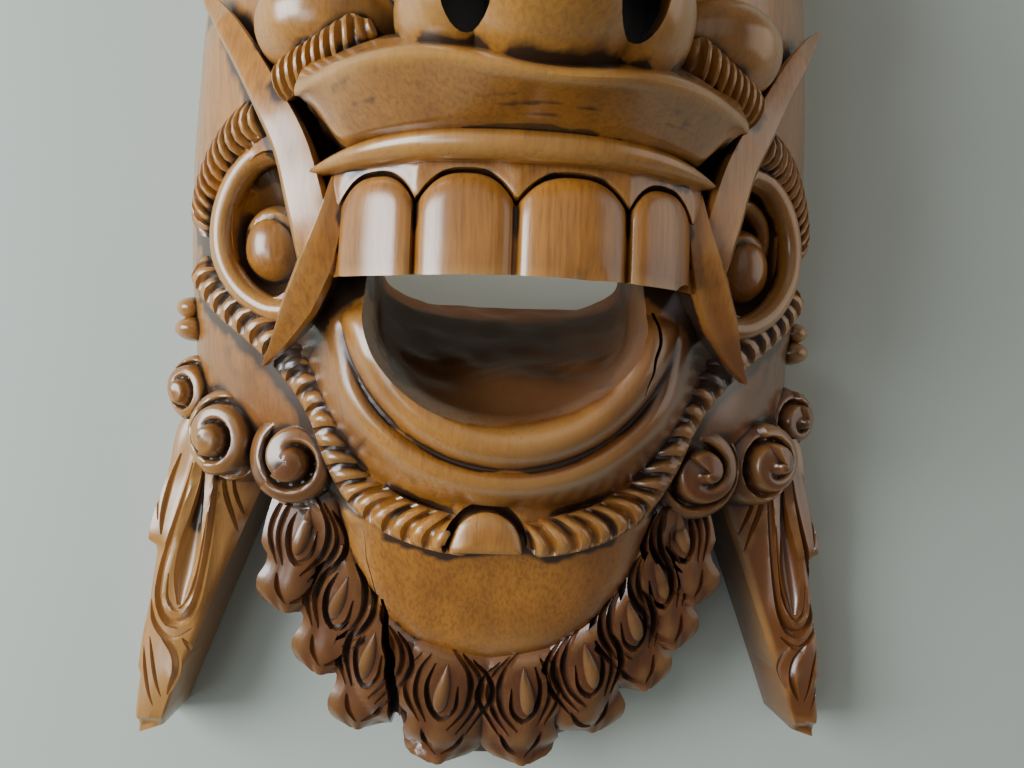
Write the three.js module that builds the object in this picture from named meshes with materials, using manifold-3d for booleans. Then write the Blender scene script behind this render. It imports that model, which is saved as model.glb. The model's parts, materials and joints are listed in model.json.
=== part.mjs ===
import * as THREE from 'three';
import { LoftGeometry } from 'three/addons/geometries/LoftGeometry.js';
import { mergeVertices } from 'three/addons/utils/BufferGeometryUtils.js';
import Module from 'manifold-3d';

// Driving sizes, in millimetres
const MASK_HEIGHT = 406;
const CHEEK_WIDTH = 230;
const MASK_DEPTH = 165;
const WALL = 15;
const MOUTH_HALF_WIDTH = 40;
const TOOTH_DROP = 26;
const TOOTH_SWELL = 4.5;
const TUSK_WIDTH = 11;
const TUSK_THICKNESS = 12;
const FANG_THICKNESS = 20;
const ROPE_WIDTH = 13;
const ROPE_RISE = 6;
const RIB_PITCH = 11.5;
const CURL_RADIUS = 13.5;
const BOSS_WIDTH = 22.4;
const NOSTRIL_WIDTH = 12;
const PUPIL_DIAMETER = 12;
const PENDANT_THICKNESS = 30;
const LEAF_RISE = 6;
const CRACK_WIDTH = 5;

// The carving is laid out as shares of the three overall sizes
const X = (v) => v * CHEEK_WIDTH / 230;
const Y = (v) => v * MASK_HEIGHT / 406;
const Z = (v) => v * MASK_DEPTH / 165;
const P = (x, y, z) => new THREE.Vector3(X(x), Y(y), Z(z));
const { sin, cos, abs, pow, sqrt, exp, min, max, PI } = Math;
const mix = (a, b, t) => a + (b - a) * t;
const step = (a, b, v) => {
  const t = min(1, max(0, (v - a) / (b - a)));
  return t * t * (3 - 2 * t);
};

const wasm = await Module();
wasm.setup();

// Turns a closed three.js geometry into a solid with its faces outward
function solid(geometry) {
  const plain = new THREE.BufferGeometry();
  plain.setAttribute('position', geometry.attributes.position);
  plain.setIndex(geometry.index);
  const merged = mergeVertices(plain, 1e-3);
  const spots = merged.attributes.position;
  const corners = merged.index.array;
  const kept = [];
  let volume = 0;
  const [a, b, c] = [new THREE.Vector3(), new THREE.Vector3(), new THREE.Vector3()];
  for (let i = 0; i < corners.length; i += 3) {
    const [p, q, r] = [corners[i], corners[i + 1], corners[i + 2]];
    if (p === q || q === r || r === p) continue;
    a.fromBufferAttribute(spots, p);
    b.fromBufferAttribute(spots, q);
    c.fromBufferAttribute(spots, r);
    volume += a.dot(b.cross(c));
    kept.push(p, q, r);
  }
  if (volume < 0) {
    for (let i = 0; i < kept.length; i += 3) [kept[i], kept[i + 1]] = [kept[i + 1], kept[i]];
  }
  return new wasm.Manifold(new wasm.Mesh({
    numProp: 3,
    vertProperties: new Float32Array(spots.array),
    triVerts: new Uint32Array(kept),
  }));
}

// Skins rings of points, turning them so that they wind around the way they advance
function loft(rows, ring) {
  const rings = Array.from({ length: rows + 1 }, (_, i) => ring(i / rows));
  const middle = (points) => points.reduce((sum, p) => sum.add(p), new THREE.Vector3()).divideScalar(points.length);
  let sense = 0;
  for (let i = 0; i < rows; i++) {
    const here = middle(rings[i]);
    const ahead = middle(rings[i + 1]).sub(here);
    for (let j = 0; j < rings[i].length; j++) {
      const a = rings[i][j].clone().sub(here);
      const b = rings[i][(j + 1) % rings[i].length].clone().sub(here);
      sense += a.cross(b).dot(ahead);
    }
  }
  if (sense < 0) rings.forEach((points) => points.reverse());
  return solid(new LoftGeometry(rings, { capStart: true, capEnd: true }));
}

// A panel between a front surface and a back surface, both functions of (u, v)
const panel = (across, along, front, back) => loft(along, (v) => {
  const ring = [];
  for (let i = 0; i <= across; i++) ring.push(front(i / across, v));
  for (let i = across; i >= 0; i--) ring.push(back(i / across, v));
  return ring;
});

// A smooth curve through a row of places
const curve = (points) => new THREE.CatmullRomCurve3(points, false, 'centripetal');

// A bar of varying section along a curve, its height toward face; three corners leave it flat behind
function bar(path, rows, around, half, face = new THREE.Vector3(0, 0, 1), roll = 0) {
  return loft(rows, (t) => {
    const ring = [];
    const ahead = path.getTangentAt(t);
    for (let i = 0; i < around; i++) {
      const angle = around === 3 ? i * PI / 2 : roll + i / around * 2 * PI;
      const side = new THREE.Vector3().crossVectors(face, ahead).normalize();
      const up = new THREE.Vector3().crossVectors(ahead, side).normalize();
      const [w, h] = half(t, angle);
      ring.push(path.getPointAt(t).addScaledVector(side, w * cos(angle)).addScaledVector(up, h * sin(angle)));
    }
    return ring;
  });
}

function ball(x, y, z, rx, ry, rz, across = 14, down = 9) {
  const shape = new THREE.SphereGeometry(1, across, down);
  shape.rotateX(PI / 2);
  shape.scale(X(rx), Y(ry), Z(rz));
  shape.translate(X(x), Y(y), Z(z));
  return solid(shape);
}

// Outline, height and squareness of the face from the chin tip to the crown
const STATIONS = [
  [-200, 13, 22, 3.0], [-193, 33, 27, 3.6], [-178, 50, 33, 4.0], [-158, 60, 38, 4.0],
  [-134, 65, 46, 4.0], [-112, 70, 58, 3.2], [-96, 86, 70, 2.5], [-80, 106, 77, 2.1],
  [-45, 114, 85, 2.0], [0, 116, 94, 2.0], [45, 113, 102, 2.1], [92, 107, 104, 2.2],
  [132, 98, 98, 2.3], [162, 84, 84, 2.4], [186, 60, 64, 2.4], [199, 36, 44, 2.4], [205, 14, 24, 2.3],
];

function station(y, column) {
  let i = 1;
  while (i < STATIONS.length - 1 && STATIONS[i][0] < y) i++;
  const [p0, p1, p2, p3] = [i - 2, i - 1, i, i + 1]
    .map((k) => STATIONS[min(STATIONS.length - 1, max(0, k))]);
  const t = min(1, max(0, (y - p1[0]) / (p2[0] - p1[0])));
  const m1 = (p2[column] - p0[column]) / (p2[0] - p0[0] || 1) * (p2[0] - p1[0]);
  const m2 = (p3[column] - p1[column]) / (p3[0] - p1[0] || 1) * (p2[0] - p1[0]);
  const t2 = t * t;
  const t3 = t2 * t;
  return (2 * t3 - 3 * t2 + 1) * p1[column] + (t3 - 2 * t2 + t) * m1
    + (3 * t2 - 2 * t3) * p2[column] + (t3 - t2) * m2;
}

// Swell of the jaw and of the chin pad
function relief(x, y) {
  const r = Math.hypot(x, y + 40);
  return 13 * step(68, 50, r) * step(-20, -50, y) + cushion(x, y);
}

// The smooth chin pad, a low cushion with a steep edge
function cushion(x, y) {
  const pad = min(1, Math.hypot(x / 52, (y + 108) / 53));
  return (7 * sqrt(1 - pow(pad, 5)) + 4 * (1 - pad * pad)) * step(-101, -108, y);
}

function surface(x, y) {
  const [w, h, n] = [1, 2, 3].map((k) => station(y, k));
  return h * pow(max(0, 1 - pow(min(1, abs(x) / w), n)), 1 / n) + relief(x, y);
}

// The face as one closed shell, flat behind
function face(across, rows) {
  const [first, last] = [STATIONS[0][0], STATIONS[STATIONS.length - 1][0]];
  return loft(rows, (t) => {
    const y = mix(first, last, t - 0.035 * sin(2 * PI * t));
    const [w, h, n] = [1, 2, 3].map((k) => station(y, k));
    const ring = [];
    for (let i = 0; i <= across; i++) {
      const a = PI * (i / across);
      const x = w * Math.sign(cos(a)) * pow(abs(cos(a)), 2 / n);
      const z = h * pow(sin(a), 2 / n) + relief(x, y) * step(0, 0.35, sin(a));
      ring.push(P(x, y, i === 0 || i === across ? 0 : z));
    }
    return ring;
  });
}

// Hollow behind the face, one wall thickness inside it
function hollow() {
  return loft(10, (t) => {
    const y = mix(-34, 186, t);
    const w = station(y, 1) * step(-90, 10, y) - WALL / CHEEK_WIDTH * 230;
    const h = station(y, 2) * mix(0.3, 1, step(-44, 20, y)) - WALL / MASK_DEPTH * 165;
    const ring = [];
    for (let i = 0; i <= 12; i++) {
      const a = PI * (i / 12);
      ring.push(P(w * cos(a), y, i % 12 ? h * sin(a) : -2));
    }
    return ring;
  });
}

// Smaller hollow behind the chin
const chinHollow = () => ball(0, -110, -10, 42, 52, 36 + (30 - WALL), 14, 8);

// Mouth: open in front, its floor climbing backward to a slit that shows daylight
function mouth() {
  const levels = [[-2, 49, -31, -14, -18, 0.35], [30, 46, -42, -16, -24, 0.35], [76, 37, -64, -26, -38, 0.5],
    [86, 37.5, -74, -31, -40, 0.85], [95, 39, -78, -33, -41, 0.95], [135, 46, -90, -33, -44, 1]];
  return loft(levels.length - 1, (t) => {
    const [z, half, floor, roof, spring, bend] = levels[Math.round(t * (levels.length - 1))];
    const ring = [];
    for (let i = 0; i <= 12; i++) {
      const a = PI * (i / 12);
      ring.push(P(half * MOUTH_HALF_WIDTH / 40 * cos(a), mix(spring, floor, pow(sin(a), bend)), z));
    }
    ring.push(P(-half * MOUTH_HALF_WIDTH / 40, roof, z));
    ring.push(P(half * MOUTH_HALF_WIDTH / 40, roof, z));
    return ring;
  });
}

// Lower lip: two folds bent round the mouth, the inner one the fuller
function lip(radius, half, height, rise, spread) {
  return bar(curve(Array.from({ length: 15 }, (_, i) => {
    const a = PI + spread + (PI - 2 * spread) * (i / 14);
    return P(radius * cos(a), -40 + radius * sin(a), height - 7 * abs(cos(a)));
  })), 12, 6, (t) => {
    const end = 0.25 + 0.75 * pow(sin(PI * min(0.97, max(0.03, t))), 0.35);
    return [half * end, rise * end];
  });
}

// Upper jaw: gum and four broad teeth on a curved arch
const TOOTH_EDGES = [-48, -27, -2, 27, 47];
const arch = (x) => 120 - 17 * pow(abs(x) / 47, 2.6);
const TOOTH_STEPS = [-1, -0.8, -0.1, 0.7];
function jaw() {
  const [top, bottom] = [-5, -12 - TOOTH_DROP];
  const columns = 4 * TOOTH_STEPS.length;
  const place = (u) => {
    const i = Math.round(u * columns);
    const k = min(3, Math.floor(i / TOOTH_STEPS.length));
    const across = i === columns ? 1 : TOOTH_STEPS[i % TOOTH_STEPS.length];
    const [a, b] = [TOOTH_EDGES[k], TOOTH_EDGES[k + 1]];
    return [mix(a, b, (across + 1) / 2), abs(across)];
  };
  return panel(columns, 5, (u, v) => {
    const [x, across] = place(u);
    const crown = -12 - 7.5 * pow(across, 2.7);
    const y = [bottom, bottom + 1.5, crown - 6, crown - 1.5, crown, top][Math.round(v * 5)];
    const tooth = TOOTH_SWELL * sqrt(1 - pow(across, 4)) * [0.9, 1, 0.95, 0.6, 0, 0][Math.round(v * 5)];
    return P(x, y, arch(x) + tooth - 0.1 * (y - bottom));
  }, (u, v) => P(place(u)[0] * 0.94, mix(bottom + 3, top, v), arch(place(u)[0]) - 20));
}

// Rounded ridge over the gums
const ridge = () => bar(curve(Array.from({ length: 13 }, (_, i) => {
  const x = mix(-52.5, 48.5, i / 12);
  return P(x, -6 - 2.4 * pow(abs(x) / 50, 3), 124.5 - 24 * pow(abs(x) / 50, 2.5));
})), 16, 8, (t) => [4.6 * pow(max(0.02, sin(PI * t)), 0.35), 5.4]);

// Overhanging upper lip with a hollowed underside
function flange() {
  const rim = (x) => 1.2 + 5.8 * (1 - exp(-pow((x - 4) / 23, 2))) - 1.4 * x / 58;
  const out = (x) => 151.5 - 41 * pow(abs(x) / 60, 2.2);
  return panel(12, 8, (u, v) => {
    const x = mix(-58.5, 58.5, u);
    const back = arch(min(50, abs(x))) - 1;
    const r = rim(x);
    const low = -5 - 0.8 * x * x / 2500 + (r + 3.5) * step(46, 59, abs(x));
    const profile = [[low, 0], [low + 0.4, 0.2], [low + 1.3, 0.48], [mix(low, r, 0.5), 0.76], [r - 1.9, 0.975],
      [r - 0.9, 1], [r + 0.7, 0.975], [r + 8, 0.62], [r + 17, 0]][Math.round(v * 8)];
    return P(x * (1 - 0.05 * (1 - profile[1])), profile[0], mix(back, out(x), profile[1]));
  }, (u, v) => P(mix(-51, 51, u), mix(-4, 14, v), 76));
}

// Nose: ball, two wings and a bridge, with the nostrils bored back and up
const NOSE_MIDDLE = 2.5;
function nose() {
  let shape = ball(NOSE_MIDDLE, 24, 126, 25, 23, 40, 10, 6);
  for (const s of [-1, 1]) shape = shape.add(ball(NOSE_MIDDLE + 20 * s, 21, 126, 15.5, 15.5, 26.5, 8, 5));
  shape = shape.add(bar(curve([P(NOSE_MIDDLE, 20, 118), P(1, 60, 116), P(0, 100, 100)]), 2, 6,
    (t) => [X(mix(21, 13, t)), Z(mix(34, 20, t))]));
  return shape;
}
function nostrils() {
  const hole = (s) => NOSE_MIDDLE + 18.2 * s;
  const bores = [-1, 1].map((s) => bar(curve([P(hole(s), 15, 178), P(hole(s) + 0.8 * s, 18.5, 150),
    P(hole(s) + 1.5 * s, 27, 122)]), 2, 8, () => [NOSTRIL_WIDTH * 0.47, NOSTRIL_WIDTH * 0.75]));
  return bores[0].add(bores[1]);
}

// Tusks: flat blades that leave the mouth corners and run up and out to a point
function tusk(s) {
  const path = curve([P(56.5 * s, -25, 90), P(57.5 * s, -15, 91), P(62 * s, -2, 89), P(69.5 * s, 12, 85),
    P(80 * s, 29, 76.5), P(98 * s, 54, 65)]);
  return bar(path, 6, 4, (t) => {
    const taper = [1.15, 1.1, 1, 0.88, 0.75, 0.5, 0.06][Math.round(t * 6)] * 1.4;
    return [TUSK_WIDTH / 2 * taper, TUSK_THICKNESS * 0.78 * min(1.4, taper * 1.2)];
  }, new THREE.Vector3(0.16 * s, 0, 1).normalize(), PI / 4);
}

// Fangs: thick wedges that fall outward past the jaw
function fang(s) {
  const path = curve([P(47.5 * s, -9, 93), P(49.5 * s, -20, 94), P(53 * s, -32, 92.5), P(58.5 * s, -44, 89),
    P(64 * s, -53, 86), P(70 * s, -61, 84)]);
  return bar(path, 6, 4, (t) => {
    const k = Math.round(t * 6);
    return [[2.6, 3.6, 4.9, 5.2, 4.3, 2.4, 0.3][k] * 1.4, FANG_THICKNESS * [0.42, 0.46, 0.47, 0.44, 0.38, 0.27, 0.1][k] * 1.4];
  }, new THREE.Vector3(0, 0, 1), PI / 4);
}

// Carved rope: swollen ribs along a curve that keeps to the face
function rope(places, width, rise, sink = 0) {
  const path = curve(places.map(([x, y]) => P(x, y, surface(x, y) - sink)));
  const ribs = max(3, Math.round(path.getLength() / RIB_PITCH));
  const out = new THREE.Vector3(places[0][0] * 0.004, 0, 1).normalize();
  return bar(path, ribs * 2, 3, (t, angle) => {
    const crest = Math.round(t * ribs * 2) % 2;
    const end = t < 0.001 || t > 0.999 ? 0.5 : 1;
    return [width / 2 * (crest ? 1 : 0.86) * end, rise * (crest ? 1 : 0.5) * end];
  }, out);
}
// The left ear is carved nearer the nose than the right one
const EAR_MIDDLE = { '-1': -76, 1: 79 };
const over = (s) => EAR_MIDDLE[s] - 79 * s;
const mirrored = (s, shift, places) => places.map(([x, y]) => [x * s + shift, y]);
const earRope = (s) => rope(mirrored(s, over(s) * 0.4, [[73, 14], [79.5, 13], [86, 9.5], [92, 4], [97, -3.5],
  [99.5, -12], [100, -19]]), ROPE_WIDTH, ROPE_RISE);
const jawRope = (s) => rope(mirrored(s, over(s) * 0.3, [[101, -26], [97.5, -33], [89, -41], [79.5, -47.5],
  [70.5, -54.5], [61.5, -63.5], [54.5, -74], [50.5, -86.5], [45, -97.5], [35.5, -105], [22, -109.5], [7, -112]]),
ROPE_WIDTH, ROPE_RISE);
const cheekRope = (s) => bar(curve([[66, 14.5, 95], [60, 16.5, 101.5], [53, 18.5, 107], [46, 21, 112], [39, 24, 115]]
  .map(([x, y, z]) => P(x * s, y, z))), 8, 4, (t) => [5.4, Math.round(t * 8) % 2 ? 5.5 : 3.5]);

// Half disc on the chin where the two jaw ropes meet
function boss() {
  const half = BOSS_WIDTH / 2;
  return loft(3, (t) => {
    const [z, k] = [[58, 1.04], [71.2, 1], [72.8, 0.88], [73.8, 0.45]][Math.round(t * 3)];
    const ring = [];
    for (let i = 0; i <= 10; i++) {
      const a = PI * i / 10;
      ring.push(P(-4.4 + half * cos(a) * k, -110.8 + (13.2 * sin(a) - 5.4) * k, z));
    }
    return ring;
  });
}

// Ears: a raised rim round a deep bowl with a ball in it
const earCut = (s) => ball(EAR_MIDDLE[s], -19, 76, 15.5, 23, 28, 9, 6);
function ear(s) {
  const rim = curve([[66, 4, 70], [74, 5.5, 66.5], [83, 3.5, 62], [90.5, -4, 57.5], [94.5, -15, 54.5],
    [93.5, -27, 54.5], [87, -37, 58], [77.5, -43, 62], [68, -44, 66]].map(([x, y, z]) => P(x * s + over(s), y, z)));
  return bar(rim, 9, 4, () => [4.3, 6.2]).add(ball(78 * s + over(s), -22, 50, 11, 14, 13, 9, 6));
}

// Curls: round knobs with a grooved collar and a raised point, where the fine carving winds a spiral
function curl(s, x, y, z, radius) {
  const profile = [[0, -1.4], [0.9, -1.4], [1, -0.3], [0.86, 0.06], [0.6, 0.2], [0.48, 0.1], [0.3, 0.34], [0, 0.5]];
  const knob = new THREE.LatheGeometry(profile.map(([r, h]) => new THREE.Vector2(r * radius, h * radius)), 8);
  knob.rotateX(PI / 2);
  knob.rotateY(s * (x - 60) * 0.008);
  knob.translate(X(x * s), Y(y), Z(z));
  return solid(knob);
}

// Leaf: one blade with a tip and two shoulders, ridged down the middle, lying on the wood below
function leaf(x, y, z, length, width, turn, rise) {
  const along = new THREE.Vector2(cos(turn), sin(turn));
  const side = new THREE.Vector2(-along.y, along.x);
  const half = [0.43, 0.5, 0.42, 0.4, 0.17];
  const reach = [0, 0.46, 0.56, 0.84, 1];
  const at = (u, k, height) => {
    const q = side.clone().multiplyScalar(u * half[k] * width).addScaledVector(along, (reach[k] - 0.1 * u * u) * length);
    return P(x + q.x, y + q.y, height);
  };
  return panel(2, 4, (u, v) => {
    const k = Math.round(v * 4);
    const across = abs(mix(-1, 1, u));
    return at(mix(-1, 1, u), k, z - 0.1 * reach[k] * length + rise * (1 - 0.65 * across) * (1 - 0.4 * reach[k]));
  }, (u, v) => at(mix(-1, 1, u), Math.round(v * 4), z - 15));
}

// Beard: leaves set round the foot of the chin pad, pointing outward and down
function beard() {
  let shape = null;
  for (const [x, y, toX, toY, width, lift] of [[-59, -99, -70, -143, 30, 6], [-46, -122, -59, -166, 31, 5.2],
    [-38, -141, -46, -188, 30, 4.2], [-14, -152, -17, -200, 34, 1.6], [57, -97, 70, -138, 28, 6],
    [51, -114, 65, -155, 28, 5.6], [43, -129, 56, -171, 30, 5], [30, -144, 39, -189, 31, 3.6],
    [11, -153, 13, -200, 32, 2.4]]) {
    const length = Math.hypot(toX - x, toY - y);
    const [midX, midY] = [mix(x, toX, 0.5), mix(y, toY, 0.5)];
    const ground = min(48, surface(midX * 0.92, midY) - cushion(midX * 0.92, midY));
    const one = leaf(x, y, ground + lift, length, width, Math.atan2(toY - y, toX - x), LEAF_RISE);
    shape = shape ? shape.add(one) : one;
  }
  return shape;
}

// Side pendants: long tapering boards under the curls with a raised scroll in front
function pendant(s) {
  const inner = (v) => mix(72, 115.5, pow(v, 0.9));
  const outer = (v) => 110 + 14.5 * pow(v, 0.6) + (v > 0.12 && v < 0.4 ? 3.5 * (v - 0.12) / 0.28 : 0);
  const y = (v) => mix(-80, -190, v);
  const board = panel(2, 8, (u, v) => {
    const crown = 4 * sin(PI * u) * (1 - v);
    return P(mix(inner(v), outer(v), u) * s, y(v) - 3 * u * v, PENDANT_THICKNESS * 165 / MASK_DEPTH - 4 + crown);
  }, (u, v) => P(mix(inner(v) - 1, outer(v) - 2, u) * s, y(v) - 3 * u * v, 0));
  const off = 1.5 + 1.5 * s;
  const scroll = curve([[104.5, -95, 32], [111, -117, 30], [116, -141, 28.5], [110, -149.5, 28], [101.5, -143, 28.5],
    [99.5, -120, 30], [98, -96, 32]].map(([x, yy, z]) => P((x + off) * s, yy, z)));
  const band = bar(scroll, 8, 4, () => [2.8, 4]);
  return board.add(band);
}

// Hidden upper half, plainer: bulging eyes with sunk pupils, brows and a low leaf crown
function eye(s) {
  const lids = curve(Array.from({ length: 13 }, (_, i) => {
    const a = i / 12 * 2 * PI * 0.97;
    return P((43 + 25 * cos(a)) * s, 84 + 21 * sin(a), 96 - 9 * cos(a));
  }));
  return ball(43 * s, 84, 84, 21, 19, 28, 9, 5).add(bar(lids, 8, 4, () => [3.5, 6]));
}
const pupil = (s) => bar(curve([P(43 * s, 84, 130), P(43 * s, 84, 106)]), 1, 9,
  () => [PUPIL_DIAMETER / 2, PUPIL_DIAMETER / 2], new THREE.Vector3(0, 1, 0));
const brow = (s) => bar(curve([[6, 98, 108], [22, 112, 112], [45, 119, 106], [68, 112, 90], [84, 94, 70]]
  .map(([x, y, z]) => P(x * s, y, z))), 6, 5, (t) => [mix(8, 3.5, t * t), mix(9, 6, t)]);
const cheek = (s) => ball(53.5 * s, 32, 90, 21, 14.5, 22, 8, 6);
function crown() {
  let shape = bar(curve([[-92, 124, 34], [-72, 136, 66], [-40, 143, 90], [0, 146, 98], [40, 143, 90], [72, 136, 66], [92, 124, 34]]
    .map(([x, y, z]) => P(x, y, z))), 8, 4, () => [4.5, 6]);
  for (const [x, turn] of [[-58, 2.3], [-30, 1.9], [0, PI / 2], [30, 1.24], [58, 0.84]]) {
    const y = 150 - x * x * 0.004;
    shape = shape.add(leaf(x, y, surface(x, y) - 2, 40 - abs(x) * 0.12, 32, turn, LEAF_RISE * 1.2));
  }
  return shape;
}

// Breaks in the wood: the open crack through the beard and a fine one beside the mouth
function cracks() {
  const open = panel(2, 4, (u, v) => P(mix(-36.5, -32, v) + mix(-0.5, 0.5, u) * mix(0.5, 1, v) * CRACK_WIDTH, mix(-139, -206, v), 80),
    (u, v) => P(mix(-36.5, -32, v) + mix(-0.5, 0.5, u) * mix(0.3, 0.6, v) * CRACK_WIDTH, mix(-139, -206, v), 8));
  const fine = panel(1, 2, (u, v) => P(mix(40, 43, v) + mix(-0.5, 0.5, u) * 1.2, mix(-40, -66, v), 130),
    (u, v) => P(mix(40, 43, v) + mix(-0.3, 0.3, u), mix(-40, -66, v), 74));
  return open.add(fine);
}

const pair = (make) => make(-1).add(make(1));

let mask = face(14, 24).subtract(pair(earCut)).add(pair(ear)).subtract(mouth());
for (const part of [lip(43, 6, 88.5, 9, 0.12), lip(57.5, 6, 80, 8.5, 0.5), jaw(), ridge(), flange(), nose(), pair(cheek),
  pair(cheekRope), pair(tusk), pair(fang), pair(earRope), pair(jawRope), boss(), beard(), pair(pendant), pair(eye),
  pair(brow), crown()]) {
  mask = mask.add(part);
}
for (const [x, y, low, z, share] of [[65, -90, 0, 52.5, 1.26], [92, -84, 3.5, 43, 1.12], [109, -69.5, 4, 27, 0.92]]) {
  mask = mask.add(pair((s) => curl(s, x, s > 0 ? y - low : y, z, CURL_RADIUS * share)));
}
mask = mask.subtract(hollow()).subtract(chinHollow()).subtract(nostrils()).subtract(pair(pupil)).subtract(cracks());

// Back to a three.js geometry, centred, lying on the plane of its rim
const { vertProperties, triVerts, numProp } = mask.getMesh();
const geometry = new THREE.BufferGeometry();
const places = new Float32Array(vertProperties.length / numProp * 3);
for (let i = 0; i < places.length / 3; i++) {
  for (let k = 0; k < 3; k++) places[i * 3 + k] = vertProperties[i * numProp + k];
}
geometry.setAttribute('position', new THREE.BufferAttribute(places, 3));
geometry.setIndex(new THREE.BufferAttribute(new Uint32Array(triVerts), 1));
geometry.computeBoundingBox();
const box = geometry.boundingBox;
geometry.translate(-(box.min.x + box.max.x) / 2, -(box.min.y + box.max.y) / 2, -box.min.z);
geometry.computeVertexNormals();

const wood = new THREE.MeshStandardMaterial({ color: 0x9a5f2c, roughness: 0.42, metalness: 0 });
const barong = new THREE.Mesh(geometry, wood);
barong.name = 'barong_mask';

const group = new THREE.Group();
group.add(barong);

export default group;
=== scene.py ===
import json

import bmesh
import bpy
import numpy as np
from bpy.props import FloatProperty, FloatVectorProperty, PointerProperty
from mathutils import Matrix

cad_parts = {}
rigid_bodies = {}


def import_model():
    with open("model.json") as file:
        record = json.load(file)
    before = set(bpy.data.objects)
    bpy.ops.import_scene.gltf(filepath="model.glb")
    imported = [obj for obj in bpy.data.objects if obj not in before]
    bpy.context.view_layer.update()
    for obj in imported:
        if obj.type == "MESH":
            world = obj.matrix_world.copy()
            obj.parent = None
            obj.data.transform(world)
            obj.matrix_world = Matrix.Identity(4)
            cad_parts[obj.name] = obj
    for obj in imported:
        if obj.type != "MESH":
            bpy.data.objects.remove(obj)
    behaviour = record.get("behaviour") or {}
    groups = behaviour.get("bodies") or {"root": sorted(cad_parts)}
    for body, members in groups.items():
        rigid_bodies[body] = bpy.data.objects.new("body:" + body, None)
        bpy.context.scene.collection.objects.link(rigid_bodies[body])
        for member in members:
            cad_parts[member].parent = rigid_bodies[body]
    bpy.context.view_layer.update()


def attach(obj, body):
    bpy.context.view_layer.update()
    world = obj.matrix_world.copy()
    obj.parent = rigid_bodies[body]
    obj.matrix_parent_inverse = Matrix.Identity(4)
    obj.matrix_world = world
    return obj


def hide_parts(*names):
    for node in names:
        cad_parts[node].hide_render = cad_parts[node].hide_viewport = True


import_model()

bl_info = {
    "name": "Carved barong mask",
    "version": (1, 0, 0),
    "blender": (4, 5, 0),
    "location": "View3D > Sidebar > Mask",
    "description": "Carves and varnishes a wooden barong mask from parametric surfaces",
    "category": "Add Mesh",
}

# The carving is laid out in millimetres: x to the viewer's right, y up the face, z out of it.
# SHIFT centres that layout on the frame's origin.
SHIFT = np.array([0.0, -2.5, 0.0])
PARTS = "carving parts"
BLOCK = "barong_mask_block"


class MaskSizes(bpy.types.PropertyGroup):
    wall: FloatProperty(name="Wall", description="Thickness of wood left round the hollow back",
                        default=0.015, unit="LENGTH")
    tooth_swell: FloatProperty(name="Tooth swell", description="How far the teeth round out of the gum",
                               default=0.0045, unit="LENGTH")
    tusk_width: FloatProperty(name="Tusk width", description="Width of a tusk's flat blade at its root",
                              default=0.011, unit="LENGTH")
    rope_width: FloatProperty(name="Rope width", description="Width of the carved rope bands",
                              default=0.013, unit="LENGTH")
    rib_pitch: FloatProperty(name="Rib pitch", description="Distance from one deep rope notch to the next",
                             default=0.0062, unit="LENGTH")
    rib_depth: FloatProperty(name="Rib depth", description="Depth of the deep rope notches",
                             default=0.0027, unit="LENGTH")
    curl_radius: FloatProperty(name="Curl radius", description="Radius of the largest curl",
                               default=0.0135, unit="LENGTH")
    leaf_groove: FloatProperty(name="Leaf groove", description="Depth of the gouge cuts in the leaves",
                               default=0.0024, unit="LENGTH")
    crack_width: FloatProperty(name="Crack width", description="Width of the open crack in the beard",
                               default=0.005, unit="LENGTH")


class MaskFinish(bpy.types.PropertyGroup):
    golden: FloatVectorProperty(name="Golden wood", description="Lit wood under thin varnish", subtype="COLOR",
                                default=(0.47, 0.205, 0.032))
    # Brown also serves as painted shade: blended in toward the right side and over the lower face, besides the
    # grain's bands and thicker varnish
    brown: FloatVectorProperty(name="Brown wood", description="Wood under thicker varnish", subtype="COLOR",
                               default=(0.13, 0.044, 0.010))
    olive: FloatVectorProperty(name="Olive wood", description="Greenish yellow wood in the sheltered coves",
                               subtype="COLOR", default=(0.32, 0.165, 0.022))
    russet: FloatVectorProperty(name="Russet wood", description="Dark reddish wood of the leaf beard",
                                subtype="COLOR", default=(0.075, 0.026, 0.013))
    # Groove: grime in the cuts, and also painted shade laid into recesses, under overhangs and on side walls; pores
    # and mouth patches use it too
    groove: FloatVectorProperty(name="Groove", description="Varnish and grime gathered in the cuts",
                                subtype="COLOR", default=(0.022, 0.009, 0.005))
    # Worn edge also serves as painted light: laid over the lower left side as a painted sunlit sheen
    worn: FloatVectorProperty(name="Worn edge", description="Wood rubbed pale along the edges", subtype="COLOR",
                              default=(0.55, 0.32, 0.11))
    mouth: FloatVectorProperty(name="Mouth", description="Stained wood inside the mouth", subtype="COLOR",
                               default=(0.12, 0.050, 0.020))
    floor: FloatVectorProperty(name="Floor", description="Colour of the plain floor", subtype="COLOR",
                               default=(0.42, 0.445, 0.39))


def mm(name):
    """A size from the panel, in millimetres."""
    return getattr(bpy.context.scene.mask_sizes, name) * 1000.0


def mix(a, b, t):
    """Straight blend from a to b as t goes from 0 to 1."""
    return a + (b - a) * t


def smooth(a, b, v):
    """Smooth step: 0 where v is at a, 1 where it is at b, with level ends."""
    t = np.clip((v - a) / (b - a), 0.0, 1.0)
    return t * t * (3.0 - 2.0 * t)


def bump(v, width):
    """Bell curve of v, 1 at zero and falling off over width."""
    return np.exp(-(v / width) ** 2)


def waver(x, y, scale, seed):
    """Slow unevenness of hand carving: a sum of six sine waves in seeded directions, about -1 to 1."""
    rng = np.random.default_rng(seed)
    total = 0.0
    for angle, phase, pitch in zip(rng.uniform(0, np.pi, 6), rng.uniform(0, 6.28, 6), rng.uniform(0.6, 1.7, 6)):
        total = total + np.sin((x * np.cos(angle) + y * np.sin(angle)) * pitch / scale + phase)
    return total / 3.5


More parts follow.
